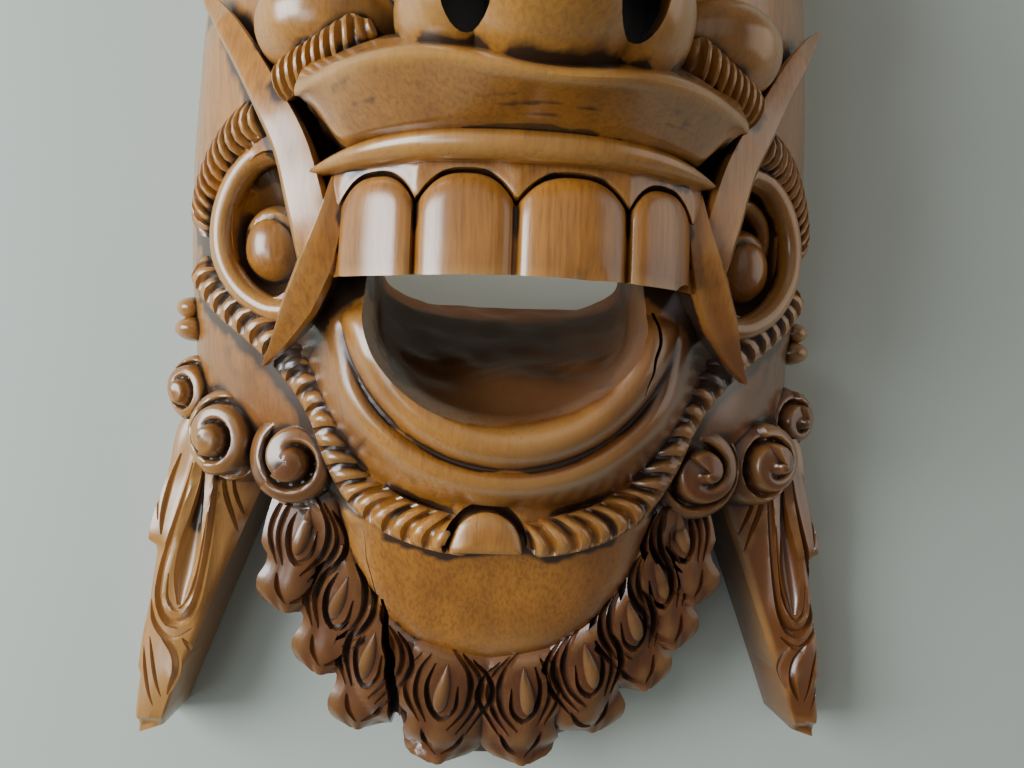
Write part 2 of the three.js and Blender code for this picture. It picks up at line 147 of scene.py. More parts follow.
def spline(points, count):
    """Catmull-Rom curve through the points, resampled to count places evenly along its length."""
    p = np.asarray(points, float)
    ext = np.vstack([2 * p[0] - p[1], p, 2 * p[-1] - p[-2]])
    t = np.linspace(0.0, 1.0, 24, endpoint=False)[None, :, None]
    a, b, c, d = (ext[i:len(ext) - 3 + i][:, None, :] for i in range(4))
    seg = 0.5 * (2 * b + (c - a) * t + (2 * a - 5 * b + 4 * c - d) * t ** 2 + (3 * b - a - 3 * c + d) * t ** 3)
    line = np.vstack([seg.reshape(-1, 3), p[-1:]])
    along = np.concatenate([[0.0], np.cumsum(np.linalg.norm(np.diff(line, axis=0), axis=1))])
    even = np.linspace(0.0, along[-1], count)
    return np.stack([np.interp(even, along, line[:, k]) for k in range(3)], 1)


def side_frame(line, face):
    """Unit vectors across and above a curve: across is face x tangent, above is tangent x across."""
    ahead = np.gradient(line, axis=0)
    ahead /= np.linalg.norm(ahead, axis=1, keepdims=True)
    side = np.cross(np.broadcast_to(face, line.shape), ahead)
    side /= np.linalg.norm(side, axis=1, keepdims=True)
    return side, np.cross(ahead, side)


def add_part(name, rings, ends="fan", group="add"):
    """Closed skin over rings of points shaped (rows, columns, 3), in layout millimetres. Neighbouring rings
    are joined by quads. The ends close as a fan round their middle, or as a strip between a panel's faces."""
    rows, cols, _ = rings.shape
    spots = rings.reshape(-1, 3)
    index = np.arange(rows * cols).reshape(rows, cols)
    a, b = index[:-1], index[1:]
    quads = np.stack([a, np.roll(a, -1, 1), np.roll(b, -1, 1), b], -1).reshape(-1, 4)
    tris = np.zeros((0, 3), int)
    if ends == "fan":
        spots = np.vstack([spots, rings[0].mean(0), rings[-1].mean(0)])
        first, last = index[0], index[-1]
        hub = rows * cols
        tris = np.vstack([
            np.stack([np.roll(first, -1), first, np.full(cols, hub)], 1),
            np.stack([last, np.roll(last, -1), np.full(cols, hub + 1)], 1),
        ])
    else:
        half = cols // 2
        i = np.arange(half - 1)
        far = cols - 1 - i
        first, last = index[0], index[-1]
        quads = np.vstack([
            quads,
            np.stack([first[i + 1], first[i], first[far], first[far - 1]], 1),
            np.stack([last[i], last[i + 1], last[far - 1], last[far]], 1),
        ])
    corners = np.concatenate([quads.ravel(), tris.ravel()])
    fan = np.vstack([quads[:, [0, 1, 2]], quads[:, [0, 2, 3]], tris])
    p, q, r = (spots[fan[:, k]] for k in range(3))
    if np.einsum("ij,ij->", p, np.cross(q, r)) < 0:
        corners = np.concatenate([quads[:, ::-1].ravel(), tris[:, ::-1].ravel()])
    starts = np.concatenate([np.arange(len(quads)) * 4, len(quads) * 4 + np.arange(len(tris)) * 3])
    mesh = bpy.data.meshes.new(name)
    mesh.vertices.add(len(spots))
    mesh.vertices.foreach_set("co", ((spots + SHIFT) * 0.001).astype(np.float32).ravel())
    mesh.loops.add(len(corners))
    mesh.loops.foreach_set("vertex_index", corners.astype(np.int32))
    mesh.polygons.add(len(starts))
    mesh.polygons.foreach_set("loop_start", starts.astype(np.int32))
    mesh.update(calc_edges=True)
    mesh.validate()
    part = bpy.data.objects.new(name, mesh)
    home = bpy.data.collections.get(PARTS + " " + group) or bpy.data.collections.new(PARTS + " " + group)
    home.objects.link(part)
    return part


def add_panel(name, front, back, across, along, group="add"):
    """A slab between two surfaces, each a function of u across and v along, both from 0 to 1."""
    v, u = np.meshgrid(np.linspace(0, 1, along + 1), np.linspace(0, 1, across + 1), indexing="ij")
    near, far = front(u, v), back(u, v)
    rings = np.concatenate([np.stack(near, -1), np.stack(far, -1)[:, ::-1]], 1)
    return add_part(name, rings, "strip", group)


def add_bar(name, line, wide, tall, around, face=(0.0, 0.0, 1.0), turn=None, group="add"):
    """A bar along a curve: at each place an ellipse of half sizes wide and tall, which may vary along the
    curve and round it. turn rolls the section."""
    side, above = side_frame(line, np.asarray(face, float))
    angle = np.linspace(0, 2 * np.pi, around, endpoint=False)[None, :]
    if turn is not None:
        angle = angle + turn[:, None]
    wide = np.broadcast_to(wide, (len(line), around))
    tall = np.broadcast_to(tall, (len(line), around))
    rings = (line[:, None] + side[:, None] * (wide * np.cos(angle))[..., None]
             + above[:, None] * (tall * np.sin(angle))[..., None])
    return add_part(name, rings, "fan", group)


def add_blob(name, middle, radii, rows, cols, swell=None, group="add"):
    """An ellipsoid in rings round the z axis, from its lower pole to its upper one. swell(azimuth, height)
    adds a share of the radius."""
    lat = np.linspace(-np.pi / 2 + 0.02, np.pi / 2 - 0.02, rows)[:, None]
    lon = np.linspace(0, 2 * np.pi, cols, endpoint=False)[None, :]
    grow = 1.0 if swell is None else 1.0 + swell(lon, lat)
    x = middle[0] + radii[0] * np.cos(lat) * np.cos(lon) * grow
    y = middle[1] + radii[1] * np.cos(lat) * np.sin(lon) * grow
    z = middle[2] + radii[2] * np.sin(lat) * grow * np.ones_like(lon)
    return add_part(name, np.stack([x, y, z], -1), "fan", group)


# Outline of the face: place up it, half width, height and squareness of the section
STATIONS = np.array([
    [-200, 13, 22, 3.0], [-193, 33, 27, 3.6], [-178, 50, 33, 4.0], [-158, 60, 38, 4.0],
    [-134, 65, 46, 4.0], [-112, 70, 58, 3.2], [-96, 86, 70, 2.5], [-80, 106, 77, 2.1],
    [-45, 114, 85, 2.0], [0, 116, 94, 2.0], [45, 113, 102, 2.1], [92, 107, 104, 2.2],
    [132, 98, 98, 2.3], [162, 84, 84, 2.4], [186, 60, 64, 2.4], [199, 36, 44, 2.4], [205, 14, 24, 2.3],
])


def station(y):
    """Half width, height and squareness at each y: a Hermite curve through the stations."""
    s = STATIONS
    slope = np.gradient(s[:, 1:], s[:, 0], axis=0)
    i = np.clip(np.searchsorted(s[:, 0], y) - 1, 0, len(s) - 2)
    step = s[i + 1, 0] - s[i, 0]
    t = np.clip((y - s[i, 0]) / step, 0.0, 1.0)[..., None]
    step = step[..., None]
    out = ((2 * t ** 3 - 3 * t ** 2 + 1) * s[i, 1:] + (t ** 3 - 2 * t ** 2 + t) * slope[i] * step
           + (3 * t ** 2 - 2 * t ** 3) * s[i + 1, 1:] + (t ** 3 - t ** 2) * slope[i + 1] * step)
    return out[..., 0], out[..., 1], out[..., 2]


def relief(x, y):
    """What the jaw adds to the plain face: a swell round the mouth and the smooth pad under it. r is the
    distance from the middle of the mouth."""
    r = np.hypot(x, y + 40)
    return 13 * smooth(68, 50, r) * smooth(-20, -50, y) + pad_rise(x, y)


def lip_rise(x, y):
    """The lip roll, the crease under it and the chin's bulge, at even distances from the mouth."""
    r = np.hypot(x, y + 40)
    lip = 7.5 * np.clip(1 - ((r - 42.0) / 6.8) ** 2, 0, 1) ** 0.7 * smooth(-38, -60, y)
    crease = -0.9 * bump(r - 49.6, 2.4) * smooth(-56, -72, y)
    chin = 5.0 * np.clip(1 - ((r - 58.0) / 8.6) ** 2, 0, 1) ** 0.7 * smooth(-52, -78, y)
    return lip + crease + chin


def pad_rise(x, y):
    """The smooth chin pad: a low cushion on an oval, steep at its edge."""
    pad = np.clip(np.hypot(x / 52, (y + 108) / 53), 0, 1)
    return (7.0 * np.sqrt(1 - pad ** 5) + 4.0 * (1 - pad ** 2)) * smooth(-101, -108, y)


def face_height(x, y):
    """Height of the face over a place: a superellipse section plus the relief."""
    w, h, n = station(np.asarray(y, float))
    part = np.clip(1 - np.clip(np.abs(x) / w, 0, 1) ** n, 0, 1)
    return h * part ** (1 / n) + relief(x, y)


def on_face(places, sink=0.0):
    """Puts a row of (x, y) places on the face."""
    xy = np.asarray(places, float)
    return np.column_stack([xy, face_height(xy[:, 0], xy[:, 1]) - sink])


class FaceShell(bpy.types.Operator):
    """Carves the face itself: a domed slab, its hollow back, the mouth opening and the ear bowls"""
    bl_idname = "mask.face_shell"
    bl_label = "Face, hollow and mouth"

    def execute(self, context):
        rows = np.concatenate([np.linspace(-200, -196, 4, endpoint=False),
                               np.arange(-196, 20, 1.9), np.arange(20, 203, 5.4), [205.0]])
        angle = np.linspace(0, np.pi, 121)[None, :]
        y = rows[:, None] * np.ones_like(angle)
        w, h, n = station(y)
        cosine = np.cos(angle)
        x = w * np.sign(cosine) * np.abs(cosine) ** (2 / n)
        rough = 0.35 * waver(x, y, 9.0, 3)
        z = h * np.abs(np.sin(angle)) ** (2 / n) + (relief(x, y) + rough) * smooth(0, 0.35, np.sin(angle))
        z[:, 0] = 0.0
        z[:, -1] = 0.0
        add_part("face", np.stack([x, y, z], -1), "fan", "base")
        self.hollow()
        self.lower_lip()
        self.mouth()
        for s in (-1, 1):
            add_blob("ear bowl", (EAR_PLACE[s], -19, 76), (15.5, 23, 28), 26, 36, group="open")
        return {"FINISHED"}

    def hollow(self):
        """Half ellipses one wall inside the face, marked by the gouge, and a smaller hollow for the chin."""
        wall = mm("wall")
        y = np.linspace(-34, 186, 56)[:, None]
        w, h, _ = station(y)
        w = w * smooth(-90, 10, y) - wall
        h = h * mix(0.3, 1.0, smooth(-44, 20, y)) - wall
        angle = np.linspace(0, np.pi, 33)[None, :]
        x = w * np.cos(angle)
        gouge = 0.5 * waver(x * 1.0, y, 2.6, 11)
        z = h * np.sin(angle) + gouge * np.sin(angle)
        z[:, 0] = -2.0
        z[:, -1] = -2.0
        add_part("hollow", np.stack([x, y * np.ones_like(x), z], -1), "fan", "cut")
        add_blob("chin hollow", (0, -110, -10), (42, 52, 66 - wall), 20, 30,
                 lambda a, b: 0.012 * np.sin(7 * a) * np.sin(9 * b), group="cut")

    def lower_lip(self):
        """The lip roll and chin as sections that fan round the mouth, so the crease runs true."""
        turn = np.linspace(np.pi * 1.02, np.pi * 1.98, 96)[:, None]
        r = np.concatenate([np.linspace(30, 46, 14), np.linspace(47, 52.5, 12), np.linspace(54, 69, 12)])[None, :]
        x, y = r * np.cos(turn), -40 + r * np.sin(turn)
        ends = smooth(np.pi * 1.02, np.pi * 1.05, turn) * smooth(np.pi * 1.98, np.pi * 1.95, turn)
        edge = smooth(68.5, 66, r) * ends
        z = face_height(x, y) + mix(-1.0, 0.25, edge) + lip_rise(x, y)
        under = np.repeat([[66.0, 48.0, 30.0]], len(turn), 0)
        low = np.stack([under * np.cos(turn), -40 + under * np.sin(turn), 0 * under + 60], -1)
        add_part("lower lip", np.concatenate([np.stack([x, y, z], -1), low], 1), "fan", "skin")

    def mouth(self):
        """A throat lofted through U-shaped sections, from the slit behind to the lip in front: straight sides
        down to the spring of the U, then a curve to the floor, boxy inside and round at the lip."""
        level = np.array([-3.0, 30.0, 62.0, 76.0, 79.0, 86.0, 93.0, 105.0, 135.0])
        half = np.array([44.5, 43.5, 40.0, 38.0, 38.5, 39.5, 40.5, 42.5, 47.0])
        floor = np.array([-31.0, -41.5, -57.0, -64.0, -66.5, -72.5, -75.5, -80.0, -90.0])
        roof = np.array([-14.0, -17.0, -23.0, -26.0, -28.0, -31.0, -33.0, -33.0, -33.0])
        spring = np.array([-18.0, -24.0, -33.0, -38.0, -39.0, -40.0, -41.0, -42.0, -44.0])
        square = np.array([0.72, 0.55, 0.42, 0.50, 0.66, 0.98, 1.08, 1.1, 1.1])
        lean = np.array([0.0, 0.0, -0.5, -1.5, -1.8, -2.0, -2.0, -2.0, -2.0])
        z = np.concatenate([np.linspace(-3, 60, 22), np.linspace(62, 135, 46)])
        half, floor, roof, spring, square, lean = (np.interp(z, level, k)[:, None]
                                                   for k in (half, floor, roof, spring, square, lean))
        angle = np.linspace(0, np.pi, 53)[None, :]
        x = half * np.cos(angle) + lean
        low = mix(spring, floor, np.abs(np.sin(angle)) ** square)
        deep = smooth(80, 70, z)[:, None]
        worn = (0.8 * waver(x, z[:, None], 4.0, 5) + 0.4 * waver(x, z[:, None], 1.3, 6)) * deep
        wave = (1.3 * np.cos(x / 7.5 - 0.6) + 0.8 * np.sin(x / 17.0)) * bump(z[:, None] - 75, 5)
        low = low + worn + wave
        ring = np.stack([x, low, z[:, None] * np.ones_like(x)], -1)
        top = np.stack([np.concatenate([lean - half, lean + half], 1), np.concatenate([roof, roof], 1),
                        np.repeat(z[:, None], 2, 1)], -1)
        add_part("mouth", np.concatenate([ring, top], 1), "fan", "open")


# Where each ear's middle stands across the face, for the left and the right one
EAR_PLACE = {-1: -76.0, 1: 79.0}
TOOTH_EDGES = np.array([-48.0, -27.0, -2.0, 27.0, 47.0])


def arch(x):
    """Depth of the tooth row: a flat curve that falls away at the corners of the mouth."""
    return 120 - 17 * np.clip(np.abs(x) / 47, 0, 1.1) ** 2.6


class UpperJaw(bpy.types.Operator):
    """Carves the gums with four broad teeth, the ridge over them and the overhanging upper lip"""
    bl_idname = "mask.upper_jaw"
    bl_label = "Teeth, ridge and upper lip"

    def execute(self, context):
        self.teeth()
        x = np.linspace(-52.5, 48.5, 80)
        end = np.sin(np.pi * np.linspace(0.012, 0.988, 80)) ** 0.4
        line = np.column_stack([x, -6.0 - 2.4 * np.abs(x / 50) ** 3, 124.5 - 24 * np.abs(x / 50) ** 2.5])
        add_bar("ridge", line, 4.6 * end[:, None], 5.4, 20)
        self.lip()
        return {"FINISHED"}

    def teeth(self):
        """Front: arch + swell, where each tooth is a rounded block, crowned by an arc cut into the gum.
        The third tooth has a nick and the fourth a broken corner."""
        swell = mm("tooth_swell")
        top, bottom = -5.0, -38.0

        def front(u, v):
            x = mix(-49.5, 49.5, u)
            k = np.clip(np.searchsorted(TOOTH_EDGES, x) - 1, 0, 3)
            a, b = TOOTH_EDGES[k], TOOTH_EDGES[k + 1]
            across = np.clip(np.abs((x - (a + b) / 2) / ((b - a) / 2)), 0, 1)
            crown = -11.8 - 7.5 * across ** 2.7
            y = np.where(v < 0.72, mix(bottom, crown, 1 - (1 - v / 0.72) ** 1.7),
                         np.where(v < 0.80, crown + (v - 0.72) / 0.08 * 1.2,
                                  mix(crown + 1.2, top, (v - 0.80) / 0.20)))
            pillow = np.clip(1 - across ** 3.2, 0, 1) ** 0.5
            below = crown - y
            shoulder = np.clip(below / 7.0, 0, 1)
            body = (0.35 + 0.65 * np.sqrt(1 - (1 - shoulder) ** 2)) * pillow * smooth(-0.1, 0.35, below)
            body = body - 0.12 * smooth(bottom + 9, bottom, y)
            seam = -1.4 * bump(1 - across, 0.05) * smooth(-3, 3, below)
            arc = -1.5 * bump(below - 0.2, 0.6)
            gum = mix(2.6, 3.6, smooth(-1, -7, below)) * smooth(0.1, -0.7, below) * smooth(top + 1, top - 3, y)
            nick = -1.8 * bump(np.hypot((x - 16) / 2.4, y + 37.5), 1.5)
            z = arch(x) + swell * body + seam + arc + gum + nick - 0.06 * (y - bottom)
            hang = 0.25 * waver(x, 0, 8.0, 2) * smooth(-30, -38, y)
            return x, y + hang + 0.8 * across ** 6 * smooth(-30, -38, y), z

        def back(u, v):
            x = mix(-49.5, 49.5, u) * 0.94
            return x, mix(bottom + 3.5, top, v), arch(x / 0.94) - 20 + 6 * (1 - v)

        add_panel("teeth", front, back, 124, 34)
        add_blob("broken corner", (45.5, -40.5, 107), (5.6, 4.6, 12), 14, 20, group="cut")

    def lip(self):
        """Rim curve pushed out over the ridge, with a bevel along its edge and a hollow underside."""

        def rim(x):
            return 1.2 + 5.8 * (1 - np.exp(-((x - 4) / 23) ** 2)) - 1.4 * x / 58

        def reach(x):
            return 151.5 - 41 * np.abs(x / 60) ** 2.2

        key = np.array([0, 0.1, 0.3, 0.5, 0.6, 0.64, 0.68, 0.8, 1.0])

        def front(u, v):
            x = mix(-58.5, 58.5, u)
            root = arch(np.clip(x, -50, 50)) - 1
            r = rim(x)
            low = -5.0 - 0.8 * (x / 50) ** 2 + (r + 3.5) * smooth(46, 59, np.abs(x))
            y = np.zeros_like(v)
            heights = [low, low + 0.4, low + 1.3, mix(low, r, 0.5), r - 1.9, r - 0.9, r + 0.7, r + 8, r + 17]
            shares = [0.0, 0.22, 0.50, 0.76, 0.975, 1.0, 0.975, 0.62, 0.0]
            share = np.interp(v, key, shares)
            for i in range(len(key) - 1):
                t = (v - key[i]) / (key[i + 1] - key[i])
                y = np.where((t >= 0) & (t <= 1), mix(heights[i], heights[i + 1], t), y)
            z = mix(root, reach(x), share)
            return x * (1 - 0.05 * (1 - share)), y, z + 0.3 * waver(x, y, 7.0, 8)

        def back(u, v):
            return mix(-51, 51, u), mix(-4, 14, v), 76 + 0 * u

        add_panel("upper lip", front, back, 72, 44)


class Nose(bpy.types.Operator):
    """Carves the nose with its nostrils, and the cheek bulges beside it"""
    bl_idname = "mask.nose"
    bl_label = "Nose and cheeks"

    def execute(self, context):
        middle = 2.5
        add_blob("nose ball", (middle, 24, 126), (25, 23, 40), 40, 56)
        for s in (-1, 1):
            add_blob("nose wing", (middle + 20 * s, 21, 126), (15.5, 15.5, 26.5), 28, 40)
            add_blob("cheek bulge", (53.5 * s, 32, 90), (21, 14.5, 22), 28, 40)
            hole = middle + 18.2 * s
            line = spline([(hole, 15, 178), (hole + 0.8 * s, 18.5, 150), (hole + 1.5 * s, 27, 122)], 12)
            add_bar("nostril", line, 5.6, 9.0, 28, group="cut")
            line = spline([(x * s, y, z) for x, y, z in
                           ((66, 14.5, 95), (60, 16.5, 101.5), (53, 18.5, 107), (46, 21, 112), (39, 24, 115))], 80)
            rope_band("cheek rope", line, mm("rope_width") * 0.42, 5.5, s, mm("rib_pitch") * 0.5, 0.3, -1.0)
        bridge = spline([(middle, 20, 118), (1, 60, 116), (0, 101, 100)], 30)
        t = np.linspace(0, 1, 30)[:, None]
        add_bar("bridge", bridge, mix(21, 13, t), mix(34, 20, t), 36)
        return {"FINISHED"}


class TusksFangs(bpy.types.Operator):
    """Carves the flat tusks that run up and out, and the thick fangs that fall beside the jaw"""
    bl_idname = "mask.tusks_fangs"
    bl_label = "Tusks and fangs"

    def execute(self, context):
        for s in (-1, 1):
            self.tusk(s)
            self.fang(s)
        return {"FINISHED"}

    def tusk(self, s):
        """A blade, broad at its root and tapering to a point. Its section is a sharp-cornered box, deep toward
        the face, so that its inner wall shows."""
        line = spline([(53.5 * s, -34, 86), (57.0 * s, -18, 91), (62 * s, -2, 89), (69.5 * s, 12, 85),
                       (80 * s, 29, 76.5), (89 * s, 42, 70), (98 * s, 54, 65)], 70)
        t = np.linspace(0, 1, 70)
        half = np.interp(t, [0, 0.2, 0.45, 0.75, 0.92, 1.0], [1.15, 1.1, 0.92, 0.72, 0.42, 0.05])[:, None]
        deep = np.interp(t, [0, 0.4, 0.8, 1.0], [9.5, 9.5, 7.0, 1.0])[:, None]
        self.blade("tusk", line, mm("tusk_width") / 2 * half, deep, s, 0.16)

    def fang(self, s):
        """A wedge: narrow where it leaves the gum, broad in the middle and pointed below, with a flat outer
        face and a deep flat side toward the mouth."""
        line = spline([(47.5 * s, -9, 93), (49.5 * s, -20, 94), (53 * s, -32, 92.5), (58.5 * s, -44, 89),
                       (64 * s, -53, 86), (70 * s, -61, 84)], 70)
        t = np.linspace(0, 1, 70)
        half = np.interp(t, [0, 0.15, 0.42, 0.62, 0.85, 1.0], [2.6, 3.4, 5.2, 4.8, 2.3, 0.3])[:, None]
        deep = np.interp(t, [0, 0.3, 0.7, 1.0], [8.5, 9.5, 7.5, 2.5])[:, None]
        self.blade("fang", line, half, deep, s, -0.10)

    def blade(self, name, line, half, deep, s, lean):
        """A bar with a box section whose front face leans outward or inward."""
        angle = np.linspace(0, 2 * np.pi, 28, endpoint=False)[None, :]
        c, k = np.cos(angle), np.sin(angle)
        box = 1 / (np.abs(c) ** 9 + np.abs(k) ** 9) ** (1 / 9)
        side, above = side_frame(line, np.array([0.0, 0.0, 1.0]))
        across = half * box * c
        outward = s * np.sign(side[:1, :1]) * across
        tall = deep * box * k - lean * 2.0 * outward
        rings = line[:, None] + side[:, None] * across[..., None] + above[:, None] * tall[..., None]
        add_part(name, rings, "fan", "add")


# One rope cell: place along it and depth of the cut there
CELL = np.array([[0.0, 0.1], [0.10, 0], [0.24, 0], [0.38, 0.08], [0.46, 0.75], [0.60, 1.0], [0.76, 0.9], [0.90, 0.4]])


def rope_band(name, points, half, rise, s, pitch, slant, bow):
    """A rope carved as bowed cuts. Rows of the grid follow the cuts: each row is shifted along the rope by
    slant times its place across, plus bow times the square of that place. The section is half an ellipse,
    sunk in each cell by the cell's depths; the cuts fade at the rope's edges."""
    length = np.linalg.norm(np.diff(points, axis=0), axis=1)
    total = length.sum()
    count = max(2, int(round(total / pitch)))
    place = (np.arange(count)[:, None] + CELL[None, :, 0]).ravel() / count
    depth = np.tile(CELL[:, 1], count)[:, None]
    side, above = side_frame(points, np.array([0.0, 0.0, 1.0]))
    angle = np.linspace(0, 2 * np.pi, 16, endpoint=False)[None, :]
    across = np.cos(angle)
    inner = -s * across
    near = np.minimum(place, 1 - place)[:, None] * total
    free = smooth(0.0, 6.0, near)
    top = smooth(-0.15, 0.3, np.sin(angle))
    where = place[:, None] + (slant * half * inner + bow * across ** 2) * top * free / total
    where = np.clip(where, 0.0, 1.0)
    key = np.concatenate([[0.0], np.cumsum(length)]) / total

    def follow(values):
        return np.stack([np.interp(where, key, values[:, k]) for k in range(3)], -1)

    cut = mm("rib_depth") * depth * smooth(1.0, 0.72, np.abs(across)) * top * smooth(0.5, 3.0, near)
    end = 0.4 + 0.6 * smooth(0.0, 5.0, near)
    tall = np.where(np.sin(angle) > 0, rise, rise * 0.8) * end
    rings = (follow(points) + follow(side) * (half * end * across)[..., None]
             + follow(above) * ((tall * np.sin(angle)) - cut)[..., None])
    return add_part(name, rings, "fan", "add")


class RopesEars(bpy.types.Operator):
    """Carves the rope bands round the ears and jaw, the ears' rims and balls, and the boss on the chin"""
    bl_idname = "mask.ropes_ears"
    bl_label = "Ropes and ears"

    def execute(self, context):
        half, rise = mm("rope_width") / 2, 5.8
        pitch = mm("rib_pitch")
        for s in (-1, 1):
            over = EAR_PLACE[s] - 79 * s
            ear = [(73, 14), (79.5, 13), (86, 9.5), (92, 4), (97, -3.5), (99.5, -12), (100, -19)]
            jaw = [(101, -26), (97.5, -33), (89, -41), (79.5, -47.5), (70.5, -54.5), (61.5, -63.5), (54.5, -74),
                   (50.5, -86.5), (45, -97.5), (35.5, -105), (22, -109.5), (7, -112)]
            line = spline(on_face([(x * s + over * 0.4, y) for x, y in ear], 0.6), 90)
            rope_band("ear rope", line, half * 0.96, rise, s, pitch * 0.72, 0.5, -2.6)
            line = spline(on_face([(x * s + over * 0.3, y) for x, y in jaw], 0.4), 240)
            rope_band("jaw rope", line, half, rise, s, pitch, 0.42, 3.0)
            self.ear(s, over)
        self.boss()
        return {"FINISHED"}

    def boss(self):
        """A half disc with a flat base and a slightly domed face: an arc closed by a straight line, shrunk
        toward its middle level by level."""
        a = np.linspace(0, np.pi, 33)
        arc = np.column_stack([11.2 * np.cos(a), 13.2 * np.sin(a) ** 0.9 - 5.4])
        base = np.column_stack([np.linspace(-11.2, 11.2, 16)[1:-1], np.full(14, -5.4)])
        ring = np.vstack([arc, base])
        levels = ((58, 1.04), (66, 1.03), (72.4, 1.0), (73.4, 0.97), (74.1, 0.88), (74.8, 0.62), (75.2, 0.3))
        rings = [np.column_stack([ring[:, 0] * k - 4.4, ring[:, 1] * k - 110.8, np.full(len(ring), z)])
                 for z, k in levels]
        add_part("boss", np.stack(rings), "fan", "add")
        a = np.linspace(-0.25, np.pi + 0.25, 17)
        add_gouge("boss cut", np.column_stack([12.6 * np.cos(a) - 4.4, 14.6 * np.sin(a) - 116.2, 0 * a + 71.5]), 1.5, 3.0)

    def ear(self, s, over):
        """Rim: a bar on an arc open toward the cheek. Ball: a lens with a crescent crease near its top."""
        rim = [(66, 4, 70), (74, 5.5, 66.5), (83, 3.5, 62), (90.5, -4, 57.5), (94.5, -15, 54.5), (93.5, -27, 54.5),
               (87, -37, 58), (77.5, -43, 62), (68, -44, 66)]
        line = spline([(x * s + over, y, z) for x, y, z in rim], 76)
        add_bar("ear rim", line, 4.3, 6.2, 18)

        def crease(lon, lat):
            line = 0.62 + 0.30 * np.cos(lon - np.pi / 2 - 0.5 * s)
            return -0.16 * bump(lat - line, 0.09) * smooth(-0.6, 0.1, np.sin(lon))

        add_blob("ear ball", (78.0 * s + over, -22, 50), (11.0, 14.0, 13.0), 40, 48, crease)
        if s > 0:
            hook = spline([(70, -6, 62), (77, -2.5, 59), (84, -7, 55), (86.5, -16, 51), (84, -26, 52)], 36)
            add_bar("ear fold", hook, 2.6, 4.5, 12)


class Curls(bpy.types.Operator):
    """Carves the round curls under the ears, each with a spiral cut climbing to a point"""
    bl_idname = "mask.curls"
    bl_label = "Curls"

    def execute(self, context):
        big = mm("curl_radius")
        for s in (-1, 1):
            low = 3.5 * (s > 0)
            self.curl(s, 65, -90, 56.0, big * 1.30, 2.4)
            self.curl(s, 92, -84 - low, 45.5, big * 1.18, 2.0)
            self.curl(s, 109, -69.5 - low, 27, big * 0.92, 1.6)
            add_blob("small knob", (110 * s, -48, 22), (7.0, 4.5, 9), 12, 18)
            add_blob("small knob", (111 * s, -40.5, 21), (6.0, 4.2, 8), 12, 18)
        return {"FINISHED"}

    def curl(self, s, x, y, z, radius, start):
        """A dome of revolution lifted step by step inside a spiral groove. The groove's radius shrinks by a
        fixed share each turn, and the wood rises inward of it like a snail's shell, up to a ball."""
        rho = np.concatenate([np.linspace(0.03, 1.0, 30), [1.03, 1.03, 1.0]])[::-1][:, None]
        phi = np.linspace(0, 2 * np.pi, 50, endpoint=False)[None, :]
        turn = ((-phi * s + start) / (2 * np.pi)) % 1.0
        inside = np.clip(rho, 0, 1)
        lift = 0.0
        cut = 0.0
        for k in range(2):
            edge = 0.90 - 0.42 * (turn + k)
            lift = lift + 0.16 * smooth(0.04, -0.08, inside - edge) * (edge > 0.12)
            cut = cut + 0.24 * bump(inside - edge - 0.045, 0.065) * smooth(0.14, 0.34, edge)
        height = 0.60 * np.sqrt(np.clip(1 - inside ** 3.0, 0, 1)) + lift - cut + 0.10 * bump(inside, 0.25)
        drop = np.zeros_like(rho)
        drop[:3, 0] = [-1.6, -0.9, -0.3]
        h = np.where(drop < 0, drop, height)
        px = x * s + radius * rho * np.cos(phi)
        py = y + radius * rho * np.sin(phi)
        pz = z - radius * 0.28 + radius * h
        lean = s * (x - 50) * 0.009
        tx, tz = px - x * s, pz - z
        px = x * s + tx * np.cos(lean) + tz * np.sin(lean)
        pz = z - tx * np.sin(lean) + tz * np.cos(lean)
        add_part("curl", np.stack([px, py, pz], -1), "fan", "add")


def add_gouge(name, places, wide, deep, soft=False):
    """One gouge cut along a row of places on a surface. The blade is a V with a rounded foot, or a shallow
    trough where soft; its width and depth die away toward both ends."""
    reach = np.linalg.norm(np.diff(np.asarray(places, float), axis=0), axis=1).sum()
    count = int(np.clip(reach / 1.7, 8, 40))
    line = spline(places, count)
    side, above = side_frame(line, np.array([0.0, 0.0, 1.0]))
    swell = np.sin(np.pi * np.linspace(0.03, 0.97, count))[:, None] ** 0.6
    edge = [1.35, 1.0, 0.72, 0.38, 0.0] if soft else [1.3, 1.0, 0.55, 0.0, 0.0]
    fall = [1.3, 0.1, -0.55, -0.92, -1.0] if soft else [1.4, 0.1, -0.70, -1.0, -1.0]
    keep = 5 if soft else 4
    edge = np.array(edge[:keep] + [-e for e in edge[:keep - 1][::-1]])[None, :]
    fall = np.array(fall[:keep] + fall[:keep - 1][::-1])[None, :]
    wide = np.atleast_1d(wide)
    wide = np.interp(np.linspace(0, 1, count), np.linspace(0, 1, len(wide)), wide)[:, None]
    rings = (line[:, None] + side[:, None] * (wide * swell * edge)[..., None]
             + above[:, None] * (deep * swell * fall)[..., None])
    return add_part(name, rings, "fan", "cut")


